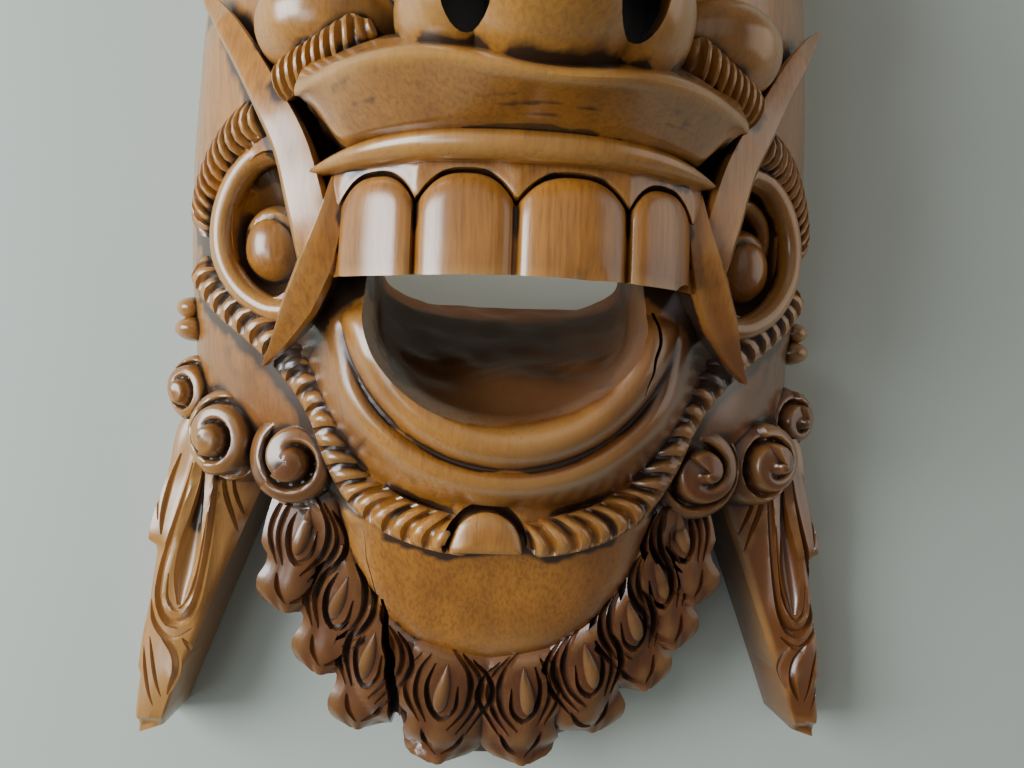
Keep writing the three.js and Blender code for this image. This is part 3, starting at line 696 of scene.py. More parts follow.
class Leaves(bpy.types.Operator):
    """Carves the overlapping leaves of the beard round the chin pad"""
    bl_idname = "mask.leaves"
    bl_label = "Leaf beard"

    def execute(self, context):
        leaves = [
            ((-59, -97), (-70, -144), 31, 1, 6.0), ((-46, -120), (-59, -167), 32, 1, 5.2),
            ((-38, -139), (-46, -189), 31, 1, 4.2), ((-14, -150), (-17, -201), 36, 1, 1.6),
            ((57, -95), (70, -139), 29, -1, 6.0), ((51, -112), (65, -156), 29, -1, 5.6),
            ((43, -127), (56, -172), 31, -1, 5.0), ((30, -142), (39, -190), 33, -1, 3.6),
            ((11, -151), (13, -201), 34, -1, 2.4),
        ]
        for i, (root, tip, width, s, lift) in enumerate(leaves):
            self.leaf(np.array(root, float), np.array(tip, float), width, s, lift, i)
        return {"FINISHED"}

    def leaf(self, root, tip, width, s, lift, seed):
        """A broad blade from root to tip with a blunt end and one step in its outer edge, crowned across and
        lifting toward the tip. q runs across from -1 to 1, outward on side s, and v along from 0 to 1. A drop
        stands near the root; crescent cuts flank it on both sides and curl under it."""
        length = np.linalg.norm(tip - root)
        ahead = (tip - root) / length
        side = np.array([-ahead[1], ahead[0]])
        side = side * np.sign(side[0] * s)

        def place(q, v):
            edge = 0.84 + 0.16 * np.sin(np.pi * np.clip(v * 1.2, 0, 1))
            edge = edge * np.sqrt(np.clip(1 - np.clip((v - 0.76) / 0.25, 0, 1) ** 2.8, 0.10, 1))
            notch = 0.17 * smooth(0.56, 0.60, v) * smooth(0.82, 0.66, v) * smooth(0.0, 0.95, np.abs(q))
            across = q * (edge - notch) * width / 2 + 1.5 * np.sin(np.pi * v)
            x = root[0] + ahead[0] * length * v + side[0] * across
            y = root[1] + ahead[1] * length * v + side[1] * across
            w, _, _ = station(y)
            low = np.maximum(y, -194.0)
            base = face_height(np.clip(x, -0.88 * w, 0.88 * w), low)
            base = np.minimum(base - pad_rise(np.clip(x, -0.88 * w, 0.88 * w), low), 50) + 2.0
            z = base + mix(1.0, lift, v) + 3.4 * (1 - np.abs(q) ** 2.6) - 2.5 * smooth(0.82, 1.0, v)
            z = z - 0.9 * bump(q + 0.45, 0.2) * smooth(0.2, 0.6, v) - 0.9 * bump(q - 0.5, 0.2) * smooth(0.2, 0.6, v)
            z = z - 2.2 * smooth(-0.2, 1.0, q) * smooth(0.1, 0.5, v)
            z = z - 4.2 * smooth(1.02, 0.90, np.hypot(x / 52, (y + 108) / 53))
            return x, y, z + 0.3 * waver(x, y, 5.0, 20 + seed)

        def front(u, v):
            return place(mix(-1, 1, u), v)

        def back(u, v):
            x, y, z = front(u, v)
            return x * 0.97, y + 1.5 * v, np.maximum(z - 22, 2.5)

        add_panel("leaf", front, back, 18, 26)
        depth = mm("leaf_groove") * 0.75

        def cut(places, wide, deep, soft=False):
            q, v = np.array(places, float).T
            add_gouge("leaf cut", np.stack(place(q, v), 1), wide, deep * depth, soft)

        cut([(-0.30, 0.20), (-0.44, 0.38), (-0.34, 0.55), (-0.10, 0.62), (0.14, 0.54), (0.16, 0.36)], 1.3, 1.2)
        for k in range(3):
            q = 0.26 + 0.21 * k
            v = 0.035 * k
            cut([(q - 0.22, 0.10 + v), (q + 0.06, 0.22 + v), (q + 0.16, 0.38 + v), (q + 0.08, 0.56 + v),
                 (q - 0.22, 0.70 + v)], 1.45 - 0.2 * k, 1.15 - 0.1 * k)
        for k in range(2):
            q = -0.56 - 0.20 * k
            cut([(q + 0.16, 0.14), (q - 0.04, 0.28), (q - 0.08, 0.46), (q + 0.10, 0.66)], 1.25, 1.0)
        cut([(0.46, 0.74), (0.34, 0.86), (0.02, 0.92)], 1.3, 0.9)
        cut([(-0.56, 0.72), (-0.40, 0.84), (-0.12, 0.93)], 1.1, 0.8)
        v = np.linspace(0.20, 0.56, 12)
        drop = spline(np.stack(place(np.full(12, -0.12) + 0.06 * np.sin(9 * v), v), 1), 14)
        t = np.linspace(0, 1, 14)[:, None]
        plump = np.sqrt(np.clip(1 - (2 * np.clip(t, 0.01, 0.99) ** 1.7 - 1) ** 2, 0, 1))
        add_bar("leaf drop", drop, 2.6 * plump, 1.7 * plump, 12)


class Pendants(bpy.types.Operator):
    """Carves the long pendants under the curls, with their scrolls and gouge cuts"""
    bl_idname = "mask.pendants"
    bl_label = "Side pendants"

    def execute(self, context):
        for s in (-1, 1):
            self.pendant(s)
        return {"FINISHED"}

    def pendant(self, s):
        """A tapering board with a leaf lobe on its outer edge. A long hooked scroll is left standing on its face
        between a deep drop-shaped hollow and a groove that turns round its foot; crescent cuts mark the lobe,
        the inner edge and the tip."""
        off = 1.5 + 1.5 * s

        def outline(u, v):
            y = mix(-80, -190, v)
            inner = mix(72, 115.5, v ** 0.9)
            lobe = 3.5 * smooth(0.12, 0.36, v) * smooth(0.405, 0.385, v)
            low = 1.2 * smooth(0.55, 0.70, v) * smooth(0.80, 0.78, v)
            outer = 110 + 14.5 * v ** 0.6 + lobe + low
            return mix(inner, outer, u), y - 3 * u * v

        def height(x, y):
            v = np.clip((-80 - y) / 110, 0, 1)
            inner, outer = mix(72, 115.5, v ** 0.9), 110 + 14.5 * v ** 0.6
            u = np.clip((x - inner) / (outer - inner), 0, 1)
            z = 30.5 - 1.5 * v + 3.0 * np.sin(np.pi * u) * (1 - v) + 3.0 * smooth(0.22, 0.0, v)
            z = z - 2.4 * smooth(0.6, 1.0, u) * smooth(0.37, 0.43, v) * (1 - v)
            a, b = np.array([101.0 + off, -94.0]), np.array([109.0 + off, -141.0])
            t = np.clip(((x - a[0]) * (b[0] - a[0]) + (y - a[1]) * (b[1] - a[1])) / ((b - a) @ (b - a)), 0, 1)
            rho = np.hypot(x - a[0] - t * (b[0] - a[0]), y - a[1] - t * (b[1] - a[1])) / (0.5 + 0.5 * t)
            roll = 1.5 * bump(rho - 6.6, 2.6) * smooth(-84, -96, y)
            lens = 1.4 * bump(np.hypot((x - 110.5 - off * 0.6) / 1.1, (y + 171) / 1.9), 3.2)
            return z + roll + lens + 0.25 * waver(x * s, y, 6.0, 40 + s) - 5.0 * smooth(0.955, 1.0, v)

        def front(u, v):
            x, y = outline(u, v)
            return x * s, y, height(x, y) - 1.2 * bump(u, 0.05) - 1.1 * bump(1 - u, 0.05)

        def back(u, v):
            x, y = outline(u, v)
            return (x - 1 - u) * s, y, 0 * u

        def cut(places, wide, deep, soft=False):
            x, y = np.array(places, float).T
            x = x + off
            add_gouge("pendant cut", np.stack([x * s, y, height(x, y)], 1), wide, deep, soft)

        cut([(101.5, -93), (103, -106), (105, -118), (107, -130), (108.5, -139), (108.8, -145)],
            (0.9, 1.5, 2.3, 3.8, 4.7, 4.6), 3.4, True)
        cut([(96.5, -90), (97.5, -104), (99, -118), (101, -132), (103.5, -144), (108, -151.5), (113.5, -151),
             (116.8, -144), (116.2, -133), (113, -121), (109, -108), (105.5, -95)], 1.9, 2.6)
        cut([(100, -112), (102.3, -128), (105.0, -140), (109.2, -146.6), (113, -143), (113.0, -134)], 0.8, 1.1)
        cut([(94.6, -92), (94.6, -104), (91.6, -115), (89.6, -122)], 1.0, 1.7)
        cut([(91.8, -95), (91.4, -104), (88.8, -112), (87.2, -116)], 0.8, 1.4)
        cut([(110, -92), (114, -102), (116.4, -113), (116.8, -121)], 1.5, 2.2)
        cut([(113.5, -93), (117.2, -101), (118.6, -109), (118.2, -116)], 1.2, 1.8)
        cut([(120.2, -142), (118.0, -152), (111.5, -157.5), (104.5, -153.5)], 1.3, 1.8)
        cut([(115.5, -156), (110.6, -162), (109.4, -169), (112.5, -177)], 1.8, 2.0)
        cut([(108.2, -157), (105.2, -161.5), (104.8, -167), (107, -172)], 1.2, 1.6)
        cut([(119.6, -157), (118.2, -165), (116.5, -173), (114.8, -178)], 0.8, 1.3)
        cut([(121.8, -160), (120.8, -168), (119.2, -176), (117.6, -181)], 0.8, 1.2)
        add_panel("pendant", front, back, 22, 50)


class UpperHalf(bpy.types.Operator):
    """Carves the plainer upper half: eyes, brows and a low crown of leaves"""
    bl_idname = "mask.upper_half"
    bl_label = "Eyes, brows and crown"

    def execute(self, context):
        for s in (-1, 1):
            add_blob("eye", (43 * s, 84, 84), (21, 19, 28), 30, 40)
            a = np.linspace(0, 2 * np.pi * 0.97, 26)
            lid = spline(np.column_stack([(43 + 25 * np.cos(a)) * s, 84 + 21 * np.sin(a), 96 - 9 * np.cos(a)]), 70)
            add_bar("eyelid", lid, 3.5, 6.0, 10)
            brow = spline([(x * s, y, z) for x, y, z in
                           ((6, 98, 108), (22, 112, 112), (45, 119, 106), (68, 112, 90), (84, 94, 70))], 90)
            t = np.linspace(0, 1, 90)[:, None]
            hairs = 1 - 0.12 * np.abs(np.sin(np.linspace(0, 22 * np.pi, 90)))[:, None]
            add_bar("brow", brow, mix(8, 3.5, t ** 2) * hairs, mix(9, 6, t) * hairs, 14)
            line = spline([(43 * s, 84, 130), (43 * s, 84, 106)], 6)
            add_bar("pupil", line, 6.0, 6.0, 28, face=(0.0, 1.0, 0.0), group="cut")
        band = spline([(-92, 124, 34), (-72, 136, 66), (-40, 143, 90), (0, 146, 98), (40, 143, 90),
                       (72, 136, 66), (92, 124, 34)], 121)
        beads = 1 - 0.16 * np.abs(np.cos(np.linspace(0, 30 * np.pi, 121)))[:, None]
        add_bar("crown band", band, 4.6 * beads, 6.2 * beads, 12)
        for i, (x, turn) in enumerate(((-58, 2.3), (-30, 1.9), (0, np.pi / 2), (30, 1.24), (58, 0.84))):
            self.crown_leaf(x, 150 - x * x * 0.004, turn, 40 - abs(x) * 0.12, i)
        return {"FINISHED"}

    def crown_leaf(self, x0, y0, turn, length, seed):
        """A plain pointed leaf with a midrib and a pair of bowed cuts."""
        ahead = np.array([np.cos(turn), np.sin(turn)])
        side = np.array([-ahead[1], ahead[0]])
        floor = float(face_height(np.array(x0), np.array(y0)))

        def front(u, v):
            q = mix(-1, 1, u)
            edge = 16 * (0.65 + 0.35 * np.sin(np.pi * np.clip(v * 1.2, 0, 1)))
            edge = edge * np.sqrt(np.clip(1 - np.clip((v - 0.5) / 0.52, 0, 1) ** 1.7, 0.02, 1))
            x = x0 + ahead[0] * v * length + side[0] * q * edge
            y = y0 + ahead[1] * v * length + side[1] * q * edge
            z = floor - 2 - 0.1 * v * length + 8.6 * (1 - 0.6 * np.abs(q)) * (1 - 0.4 * v)
            return x, y, z

        def back(u, v):
            x, y, z = front(u, v)
            return x, y, z * 0 + floor - 17

        add_panel("crown leaf", front, back, 14, 16)
        for q in (-0.45, 0.45):
            places = [front(np.array(0.5 + 0.5 * q * k), np.array(v)) for k, v in ((0.6, 0.15), (1.1, 0.45), (0.7, 0.8))]
            add_gouge("crown cut", np.array(places, float), 1.2, 1.8)


class JoinBlock(bpy.types.Operator):
    """Joins every carved form into the one block of wood, opens its hollows and lets in the old cracks"""
    bl_idname = "mask.join_block"
    bl_label = "Join into one block"

    def execute(self, context):
        self.cracks()
        groups = {key: bpy.data.collections[PARTS + " " + key] for key in ("base", "skin", "open", "add", "cut")}
        block = groups["base"].objects[0]
        for key, work in (("skin", "UNION"), ("open", "DIFFERENCE"), ("add", "UNION"), ("cut", "DIFFERENCE")):
            tool = block.modifiers.new(key, "BOOLEAN")
            tool.operation = work
            tool.operand_type = "COLLECTION"
            tool.collection = groups[key]
            tool.solver = "MANIFOLD"
        context.scene.collection.objects.link(block)
        seen = block.evaluated_get(context.evaluated_depsgraph_get())
        mesh = bpy.data.meshes.new_from_object(seen)
        if len(mesh.polygons) < 1000:
            raise RuntimeError("the carved forms didn't join")
        for group in groups.values():
            for part in list(group.objects):
                bpy.data.objects.remove(part)
            bpy.data.collections.remove(group)
        mesh.name = BLOCK
        self.one_piece(mesh)
        mesh.shade_smooth()
        mesh.set_sharp_from_angle(angle=np.radians(38))
        # Masks for grime and painted shade in the hollows and on the side walls, for rubbed edges and for the mouth
        self.hollows(mesh)
        mask = bpy.data.objects.new(BLOCK, mesh)
        context.scene.collection.objects.link(mask)
        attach(mask, "root")
        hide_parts("barong_mask")
        return {"FINISHED"}

    def cracks(self):
        """Thin wedges with wandering sides: the open split in the beard, a hair crack above it and one beside the
        mouth."""

        def wedge(name, places, wide, low, high, wander, seed):
            line = spline([(x, y, 0.0) for x, y in places], 40)
            t = np.linspace(0, 1, 40)
            w = np.interp(t, np.linspace(0, 1, len(wide)), wide)
            off = wander * waver(line[:, 1], 0, 1.8, seed)
            x = line[:, 0] + off
            ring = np.stack([
                np.stack([x - w / 2, line[:, 1], high + 0 * t], -1),
                np.stack([x + w / 2, line[:, 1], high + 0 * t], -1),
                np.stack([x + w / 5, line[:, 1], low + 0 * t], -1),
                np.stack([x - w / 5, line[:, 1], low + 0 * t], -1),
            ], 1)
            add_part(name, ring, "fan", "cut")

        wide = mm("crack_width")
        wedge("beard crack", [(-37, -137), (-36, -150), (-33.5, -175), (-31.5, -206)],
              [wide * 0.3, wide, wide * 1.3, wide * 2.6], 6, 80, 0.4, 51)
        wedge("pad crack", [(-43, -112), (-42, -124), (-39, -137)], [0.15, 0.5, 0.8], 44, 90, 0.25, 52)
        wedge("mouth crack", [(40.5, -42), (41.5, -50), (38, -66)], [1.6, 1.4, 0.3], 60, 112, 0.3, 53)

    def one_piece(self, mesh):
        """Keeps the largest connected shell and drops any crumb that the joining leaves. Each vertex takes the
        lowest number among its neighbours until nothing changes."""
        a, b = self.edge_ends(mesh)
        label = np.arange(len(mesh.vertices))
        while True:
            before = label.copy()
            low = np.minimum(label[a], label[b])
            np.minimum.at(label, a, low)
            np.minimum.at(label, b, low)
            label = label[label]
            if np.array_equal(before, label):
                break
        crumbs = np.flatnonzero(label != np.argmax(np.bincount(label)))
        if len(crumbs) == 0:
            return
        work = bmesh.new()
        work.from_mesh(mesh)
        work.verts.ensure_lookup_table()
        bmesh.ops.delete(work, geom=[work.verts[i] for i in crumbs], context="VERTS")
        work.to_mesh(mesh)
        work.free()

    def edge_ends(self, mesh):
        """The two vertex numbers of every edge."""
        edges = np.empty(len(mesh.edges) * 2, np.int32)
        mesh.edges.foreach_get("vertices", edges)
        return edges.reshape(-1, 2).T

    def hollows(self, mesh):
        """Stores, as attributes between 0 and 1, masks for grime and painted shade in the hollows and for the edges
        where hands rub. near_sunk and deep_sunk tell how far a vertex lies under the carving's average height within
        3 mm and 10 mm of it; proud tells how far it stands over its close neighbours; wall marks the side walls of
        the beard and the pendants, painted dark as shade; mouth marks the inside of the mouth."""
        count = len(mesh.vertices)
        co = np.empty(count * 3, np.float32)
        mesh.vertices.foreach_get("co", co)
        co = co.reshape(-1, 3).astype(float) * 1000.0
        normal = np.empty(count * 3, np.float32)
        mesh.vertices.foreach_get("normal", normal)
        normal = normal.reshape(-1, 3)
        a, b = self.edge_ends(mesh)
        weight = 1.0 / (np.linalg.norm(co[a] - co[b], axis=1) + 0.4)
        total = np.bincount(a, weight, count) + np.bincount(b, weight, count)

        def relaxed(values, rounds):
            out = values.copy()
            for _ in range(rounds):
                near = np.stack([np.bincount(a, weight * out[b, k], count) + np.bincount(b, weight * out[a, k], count)
                                 for k in range(out.shape[1])], 1)
                out = mix(out, near / total[:, None], 0.6)
            return out

        shape = (430, 270)
        row = np.clip((co[:, 1] + 215.0).astype(int), 0, shape[0] - 1)
        column = np.clip((co[:, 0] + 135.0).astype(int), 0, shape[1] - 1)
        spot = row * shape[1] + column
        top = np.full(shape[0] * shape[1], -1.0)
        np.maximum.at(top, spot, co[:, 2])
        high = co[:, 2] > top[spot] - 2.0
        share = np.bincount(spot[high], minlength=len(top))
        top = np.where(share > 0, np.bincount(spot[high], co[high, 2], len(top)) / np.maximum(share, 1), -1.0)
        top = top.reshape(shape)
        for _ in range(6):
            grown = top.copy()
            for axis in (0, 1):
                for way in (-1, 1):
                    grown = np.maximum(grown, np.roll(top, way, axis))
            top = np.where(top < 0, grown, top)
        top = np.maximum(top, 0.0)

        def averaged(grid, reach):
            for axis in (0, 1):
                pad = [(0, 0), (0, 0)]
                pad[axis] = (reach + 1, reach)
                run = np.cumsum(np.pad(grid, pad, mode="edge"), axis)
                place = np.arange(grid.shape[axis])
                grid = (np.take(run, place + 2 * reach + 1, axis) - np.take(run, place, axis)) / (2 * reach + 1)
            return grid

        def store(name, values, rounds):
            values = relaxed(np.clip(values, 0, 1)[:, None], rounds)[:, 0]
            attribute = mesh.attributes.new(name, "FLOAT", "POINT")
            attribute.data.foreach_set("value", values.astype(np.float32))

        outside = smooth(-0.3, 0.1, normal[:, 2]) * smooth(0.5, 2.0, co[:, 2])
        skirt = smooth(48.0, 24.0, co[:, 2]) * smooth(0.55, 0.25, normal[:, 2])
        # near_sunk and deep_sunk: grime in the cuts, and painted shade in recesses and under overhangs
        for name, reach, scale, rounds in (("near_sunk", 2, 1.6, 1), ("deep_sunk", 10, 16.0, 2)):
            sunk = averaged(averaged(top, reach), max(1, reach // 2))[row, column] - co[:, 2]
            store(name, sunk / scale * (1 - skirt), rounds)
        proud = np.einsum("ij,ij->i", co - relaxed(co, 4), normal) / 0.25
        store("proud", proud * outside, 3)
        # wall: the inner side walls of the beard and the pendants, later given the groove colour as painted shade
        below = smooth(-88.0, -96.0, co[:, 1]) * smooth(0.5, 0.1, normal[:, 2]) * smooth(-1.0, 3.0, co[:, 2])
        store("wall", below, 1)
        from_mouth = np.hypot(co[:, 0], co[:, 1] + 42.5)
        inside = smooth(39.0, 36.5, from_mouth) * smooth(-14.0, -24.0, co[:, 1]) * smooth(92.0, 86.0, co[:, 2])
        store("mouth", np.maximum(inside, smooth(80.0, 76.0, co[:, 2]) * (from_mouth < 50) * (co[:, 1] < -20)), 1)


def socket_of(group, name, kind, way, default=None):
    """Adds a named socket to a node group."""
    made = group.interface.new_socket(name=name, in_out=way, socket_type="NodeSocket" + kind)
    if default is not None:
        made.default_value = default
    return made


class Graph:
    """Short calls for building a node tree."""

    def __init__(self, tree):
        self.tree = tree

    def node(self, kind, inputs=None, **settings):
        """A node with its settings, its inputs given as values or as sockets to link."""
        made = self.tree.nodes.new(kind)
        for key, value in settings.items():
            setattr(made, key, value)
        for key, value in (inputs or {}).items():
            if isinstance(value, bpy.types.NodeSocket):
                self.tree.links.new(value, made.inputs[key])
            else:
                made.inputs[key].default_value = value
        return made

    def math(self, work, a, b=0.0):
        """One Math node."""
        return self.node("ShaderNodeMath", {0: a, 1: b}, operation=work).outputs[0]

    def blend(self, share, a, b, way="MIX"):
        """Mixes two colours by a share."""
        made = self.node("ShaderNodeMix", {"Factor": share}, data_type="RGBA", blend_type=way)
        for key, value in ((6, a), (7, b)):
            if isinstance(value, bpy.types.NodeSocket):
                self.tree.links.new(value, made.inputs[key])
            else:
                made.inputs[key].default_value = (*value[:3], 1.0)
        return made.outputs[2]

    def ramp(self, value, low, high):
        """Maps a value from low to high onto 0 to 1, clamped."""
        made = self.node("ShaderNodeMapRange", {"Value": value, "From Min": low, "From Max": high})
        return made.outputs[0]

    def noise(self, vector, scale, detail=3.0, rough=0.5):
        """Noise from 0 to 1 at so many cells a metre."""
        return self.node("ShaderNodeTexNoise", {"Vector": vector, "Scale": scale, "Detail": detail,
                                                "Roughness": rough}).outputs["Fac"]


def wood_grain():
    """Node group of the grain: streaks stretched along the mask's height, slow bands across them, and short
    dark pores. It puts out streak, band and pore masks and a height."""
    tree = bpy.data.node_groups.new("wood grain", "ShaderNodeTree")
    socket_of(tree, "Streak scale", "Float", "INPUT", 900.0)
    socket_of(tree, "Pore amount", "Float", "INPUT", 0.35)
    for name in ("Streak", "Band", "Pore", "Height"):
        socket_of(tree, name, "Float", "OUTPUT")
    g = Graph(tree)
    given = g.node("NodeGroupInput")
    out = g.node("NodeGroupOutput")
    place = g.node("ShaderNodeTexCoord").outputs["Object"]
    drift = g.node("ShaderNodeTexNoise", {"Vector": place, "Scale": 14.0, "Detail": 2.0}).outputs["Color"]
    bent = g.node("ShaderNodeVectorMath", {0: drift, 1: (0.012, 0.0, 0.012)}, operation="MULTIPLY").outputs[0]
    moved = g.node("ShaderNodeVectorMath", {0: place, 1: bent}, operation="ADD").outputs[0]
    long = g.node("ShaderNodeVectorMath", {0: moved, 1: (1.0, 0.055, 1.0)}, operation="MULTIPLY").outputs[0]
    streak = g.node("ShaderNodeTexNoise", {"Vector": long, "Scale": given.outputs["Streak scale"], "Detail": 3.0,
                                           "Roughness": 0.6}).outputs["Fac"]
    slow = g.node("ShaderNodeVectorMath", {0: moved, 1: (1.0, 0.16, 0.6)}, operation="MULTIPLY").outputs[0]
    band = g.noise(slow, 95.0, 4.0, 0.55)
    dash = g.node("ShaderNodeVectorMath", {0: moved, 1: (1.0, 0.12, 1.0)}, operation="MULTIPLY").outputs[0]
    cells = g.node("ShaderNodeTexVoronoi", {"Vector": dash, "Scale": 700.0}, feature="F1").outputs["Distance"]
    chance = g.ramp(g.noise(moved, 60.0, 2.0), 0.45, 0.7)
    pore = g.math("MULTIPLY", g.ramp(cells, 0.24, 0.12), chance)
    pore = g.math("MULTIPLY", pore, given.outputs["Pore amount"])
    height = g.math("SUBTRACT", g.math("MULTIPLY", streak, 0.6), g.math("MULTIPLY", pore, 1.2))
    for name, value in (("Streak", streak), ("Band", band), ("Pore", pore), ("Height", height)):
        tree.links.new(value, out.inputs[name])
    return tree


class VarnishWood(bpy.types.Operator):
    """Makes the varnished wood and puts it on the block"""
    bl_idname = "mask.varnish"
    bl_label = "Varnished wood"

    def execute(self, context):
        tone = context.scene.mask_finish
        block = bpy.data.objects[BLOCK]
        material = bpy.data.materials.new("varnished wood")
        material.use_nodes = True
        tree = material.node_tree
        tree.nodes.clear()
        g = Graph(tree)
        place = g.node("ShaderNodeTexCoord").outputs["Object"]
        apart = g.node("ShaderNodeSeparateXYZ", {"Vector": place}).outputs
        grain = g.node("ShaderNodeGroup", node_tree=wood_grain())
        near, deep, proud, wall, mouth = (
            g.node("ShaderNodeAttribute", attribute_name=name).outputs["Fac"]
            for name in ("near_sunk", "deep_sunk", "proud", "wall", "mouth"))

        patch = g.noise(place, 16.0, 4.0, 0.6)
        # Painted shade, partly real varnish tone: the wood turns brown toward the right side, away from the light,
        # and over the lower face off the chin pad; round the right of the lip and chin it is partly a darker stained
        # patch and partly painted shade; the noise patches are random thicker varnish
        right = g.ramp(g.math("ADD", apart[0], g.math("MULTIPLY", g.math("SUBTRACT", patch, 0.5), 0.16)), -0.05, 0.10)
        off_pad = self.away(g, place, 0.0, -0.1105)
        low = g.math("MULTIPLY", g.ramp(apart[1], -0.030, -0.075), g.ramp(off_pad, 0.044, 0.053))
        jaw = g.ramp(self.away(g, place, 0.034, -0.078), 0.050, 0.022)
        varnish_and_shade = g.math("ADD", g.math("MULTIPLY", right, 0.40), g.math("MULTIPLY", g.ramp(patch, 0.42, 0.75), 0.35))
        varnish_and_shade = g.math("ADD", varnish_and_shade, g.math("MULTIPLY", jaw, 0.60))
        varnish_and_shade = g.math("ADD", varnish_and_shade, g.math("MULTIPLY", low, g.math("ADD", 0.48, g.math("MULTIPLY", right, 0.50))))
        colour = g.blend(g.ramp(varnish_and_shade, 0.0, 1.0), tone.golden, tone.brown)
        cove = g.math("MULTIPLY", g.ramp(apart[1], -0.012, 0.004), g.ramp(apart[2], 0.088, 0.120))
        colour = g.blend(g.math("MULTIPLY", cove, 0.45), colour, tone.olive)
        band = g.ramp(grain.outputs["Band"], 0.3, 0.7)
        colour = g.blend(g.math("MULTIPLY", band, 0.50), colour, tone.brown)
        beard = g.math("MULTIPLY", g.ramp(off_pad, 0.049, 0.053),
                       g.ramp(g.math("ABSOLUTE", apart[0]), 0.100, 0.080))
        beard = g.math("MULTIPLY", beard, g.ramp(apart[1], -0.080, -0.100))
        colour = g.blend(g.math("MULTIPLY", beard, 0.78), colour, tone.russet)
        streak = g.ramp(grain.outputs["Streak"], 0.42, 0.66)
        colour = g.blend(g.math("MULTIPLY", streak, 0.50), colour, (0.13, 0.045, 0.011))
        worn = g.math("MULTIPLY", g.ramp(proud, 0.30, 1.2), g.ramp(patch, 0.30, 0.60))
        worn = g.math("MULTIPLY", worn, g.math("SUBTRACT", 1.0, g.math("MULTIPLY", beard, 0.55)))
        # Painted light: pale marks the lower left side, the left pendant and outer curls, which take the worn colour
        # as a painted sunlit sheen on top of the real rubbed edges
        pale = g.math("MULTIPLY", g.ramp(apart[0], -0.086, -0.104), g.ramp(apart[1], -0.060, -0.095))
        worn = g.math("MAXIMUM", worn, g.math("MULTIPLY", pale, g.ramp(patch, -0.1, 0.70)))
        colour = g.blend(g.math("MULTIPLY", worn, 0.60), colour, tone.worn)
        # Painted shade, partly grime: near_sunk and deep_sunk lay the groove colour into cuts, recesses and under
        # overhangs where shade falls
        grime_and_shade = g.math("MAXIMUM", g.math("MULTIPLY", g.ramp(near, 0.24, 0.62), 0.96),
                         g.math("MULTIPLY", g.ramp(deep, 0.18, 0.95), 0.85))
        # Painted shade: the side walls marked by wall take the groove colour as if they lay in shadow
        grime_and_shade = g.math("MAXIMUM", grime_and_shade, g.math("MULTIPLY", wall, 0.86))
        grime_and_shade = g.math("MULTIPLY", grime_and_shade, g.math("SUBTRACT", 1.0, g.math("MULTIPLY", mouth, 0.85)))
        colour = g.blend(g.math("MULTIPLY", mouth, 0.92), colour, tone.mouth)
        dark = g.math("MAXIMUM", grime_and_shade, g.math("MULTIPLY", mouth, g.ramp(patch, 0.40, 1.10)))
        dark = g.math("MAXIMUM", dark, grain.outputs["Pore"])
        colour = g.blend(dark, colour, tone.groove)

        rough = g.math("ADD", 0.32, g.math("MULTIPLY", g.noise(place, 120.0, 3.0), 0.14))
        rough = g.math("ADD", rough, g.math("MULTIPLY", dark, 0.25))
        gloss = g.math("SUBTRACT", 0.28, g.math("MULTIPLY", mouth, 0.23))
        coat = g.math("SUBTRACT", 1.0, g.math("MULTIPLY", mouth, 0.86))
        coat = g.math("SUBTRACT", coat, g.math("MULTIPLY", g.math("MULTIPLY", beard, right), 0.70))
        tool = g.noise(place, 190.0, 2.0)
        height = g.math("ADD", g.math("MULTIPLY", grain.outputs["Height"], 0.6), g.math("MULTIPLY", tool, 0.25))
        normal = g.node("ShaderNodeBump", {"Strength": 0.35, "Distance": 0.0006, "Height": height}).outputs[0]
        wood = g.node("ShaderNodeBsdfPrincipled", {"Base Color": colour, "Roughness": rough, "Normal": normal,
                                                   "Coat Tint": (1.0, 0.90, 0.74, 1.0),
                                                   "Coat Weight": coat, "Coat Roughness": 0.24, "Coat IOR": 1.62,
                                                   "Specular IOR Level": gloss})
        out = g.node("ShaderNodeOutputMaterial")
        tree.links.new(wood.outputs[0], out.inputs[0])
        block.data.materials.clear()
        block.data.materials.append(material)
        return {"FINISHED"}

    def away(self, g, place, x, y):
        """Distance across the face from a place at x and y, in metres."""
        far = g.node("ShaderNodeVectorMath", {0: place, 1: (x, y, 0.0)}, operation="SUBTRACT").outputs[0]
        far = g.node("ShaderNodeVectorMath", {0: far, 1: (1.0, 1.0, 0.0)}, operation="MULTIPLY").outputs[0]
        return g.node("ShaderNodeVectorMath", {0: far}, operation="LENGTH").outputs["Value"]


CAMERA = {"focal": 782.4, "yaw": -3.88, "pitch": 0.28, "roll": 2.11, "place": (-14.5, -65.0, 312.3)}


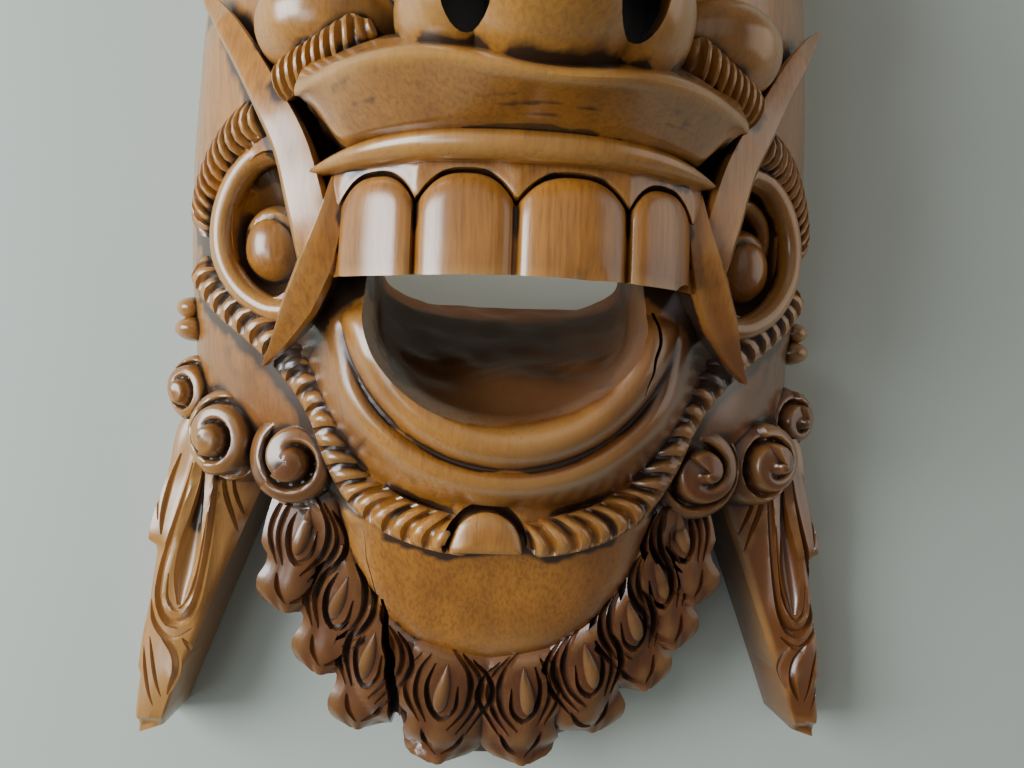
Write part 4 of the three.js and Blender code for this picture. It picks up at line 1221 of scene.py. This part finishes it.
class Stage(bpy.types.Operator):
    """Lays the plain floor, hangs the soft lights and sets the camera over the mask"""
    bl_idname = "mask.stage"
    bl_label = "Floor, lights and camera"

    def execute(self, context):
        self.floor()
        self.light("window", (-0.88, 0.06, 0.60), (0.0, -0.04, 0.05), 0.66, 21.0, (0.86, 0.94, 1.0))
        self.light("low window", (-0.50, -0.30, 0.78), (0.0, -0.06, 0.05), 0.34, 1.6, (0.84, 0.93, 1.0))
        self.light("room", (-0.10, 0.45, 1.20), (0.0, -0.05, 0.05), 1.2, 1.6, (1.0, 0.97, 0.93))
        self.light("far wall", (1.15, 0.15, 0.42), (0.0, 0.0, 0.05), 1.2, 5.0, (1.0, 0.93, 0.84))
        self.light("behind", (0.0, 0.075, 0.070), (0.0, -0.030, 0.0), 0.05, 0.12, (1.0, 1.0, 0.98))
        world = bpy.data.worlds.new("soft room")
        world.use_nodes = True
        world.node_tree.nodes["Background"].inputs[0].default_value = (0.80, 0.86, 0.90, 1.0)
        world.node_tree.nodes["Background"].inputs[1].default_value = 0.17
        context.scene.world = world
        self.camera()
        return {"FINISHED"}

    def floor(self):
        """A flat square under the mask, just below its rim."""
        half = 3.0
        mesh = bpy.data.meshes.new("floor")
        mesh.from_pydata([(-half, -half, -0.0004), (half, -half, -0.0004), (half, half, -0.0004),
                          (-half, half, -0.0004)], [], [(0, 1, 2, 3)])
        floor = bpy.data.objects.new("floor", mesh)
        bpy.context.scene.collection.objects.link(floor)
        material = bpy.data.materials.new("plain floor")
        material.use_nodes = True
        shader = material.node_tree.nodes["Principled BSDF"]
        shader.inputs["Base Color"].default_value = (*bpy.context.scene.mask_finish.floor, 1.0)
        shader.inputs["Roughness"].default_value = 0.8
        mesh.materials.append(material)

    def light(self, name, place, target, size, power, colour):
        """An area light at a place, turned to a target."""
        data = bpy.data.lights.new(name, "AREA")
        data.size = size
        data.energy = power
        data.color = colour
        lamp = bpy.data.objects.new(name, data)
        back = np.array(place) - np.array(target)
        back /= np.linalg.norm(back)
        side = np.cross((0.0, 1.0, 0.001), back)
        side /= np.linalg.norm(side)
        turn = np.eye(4)
        turn[:3, 0], turn[:3, 1], turn[:3, 2], turn[:3, 3] = side, np.cross(back, side), back, place
        lamp.matrix_world = Matrix(turn.tolist())
        bpy.context.scene.collection.objects.link(lamp)
        lamp.visible_camera = False

    def camera(self):
        """The photograph's view: turned by yaw, pitch and roll from straight down."""
        yaw, pitch, roll = (np.radians(CAMERA[k]) for k in ("yaw", "pitch", "roll"))
        ry = np.array([[np.cos(yaw), 0, np.sin(yaw)], [0, 1, 0], [-np.sin(yaw), 0, np.cos(yaw)]])
        rx = np.array([[1, 0, 0], [0, np.cos(pitch), -np.sin(pitch)], [0, np.sin(pitch), np.cos(pitch)]])
        rz = np.array([[np.cos(roll), -np.sin(roll), 0], [np.sin(roll), np.cos(roll), 0], [0, 0, 1]])
        turn = np.eye(4)
        turn[:3, :3] = ry @ rx @ rz
        turn[:3, 3] = (np.array(CAMERA["place"]) + SHIFT) * 0.001
        data = bpy.data.cameras.new("camera")
        data.sensor_width = 36.0
        data.lens = CAMERA["focal"] / 1024.0 * 36.0
        data.clip_start = 0.01
        camera = bpy.data.objects.new("camera", data)
        bpy.context.scene.collection.objects.link(camera)
        camera.matrix_world = Matrix(turn.tolist())
        bpy.context.scene.camera = camera


STEPS = (FaceShell, UpperJaw, Nose, TusksFangs, RopesEars, Curls, Leaves, Pendants, UpperHalf, JoinBlock,
         VarnishWood, Stage)


class MaskPanel(bpy.types.Panel):
    """Lists the sizes, the colours and the steps of the carving"""
    bl_idname = "VIEW3D_PT_barong_mask"
    bl_label = "Barong mask"
    bl_space_type = "VIEW_3D"
    bl_region_type = "UI"
    bl_category = "Mask"

    def draw(self, context):
        for name in MaskSizes.__annotations__:
            self.layout.prop(context.scene.mask_sizes, name)
        for name in MaskFinish.__annotations__:
            self.layout.prop(context.scene.mask_finish, name)
        for step in STEPS:
            self.layout.operator(step.bl_idname)


CLASSES = (MaskSizes, MaskFinish, *STEPS, MaskPanel)


def register():
    for each in CLASSES:
        bpy.utils.register_class(each)
    bpy.types.Scene.mask_sizes = PointerProperty(type=MaskSizes)
    bpy.types.Scene.mask_finish = PointerProperty(type=MaskFinish)


def unregister():
    del bpy.types.Scene.mask_finish
    del bpy.types.Scene.mask_sizes
    for each in reversed(CLASSES):
        bpy.utils.unregister_class(each)


def main():
    register()
    for step in STEPS:
        getattr(bpy.ops.mask, step.bl_idname.split(".")[1])()


if __name__ == "__main__":
    main()
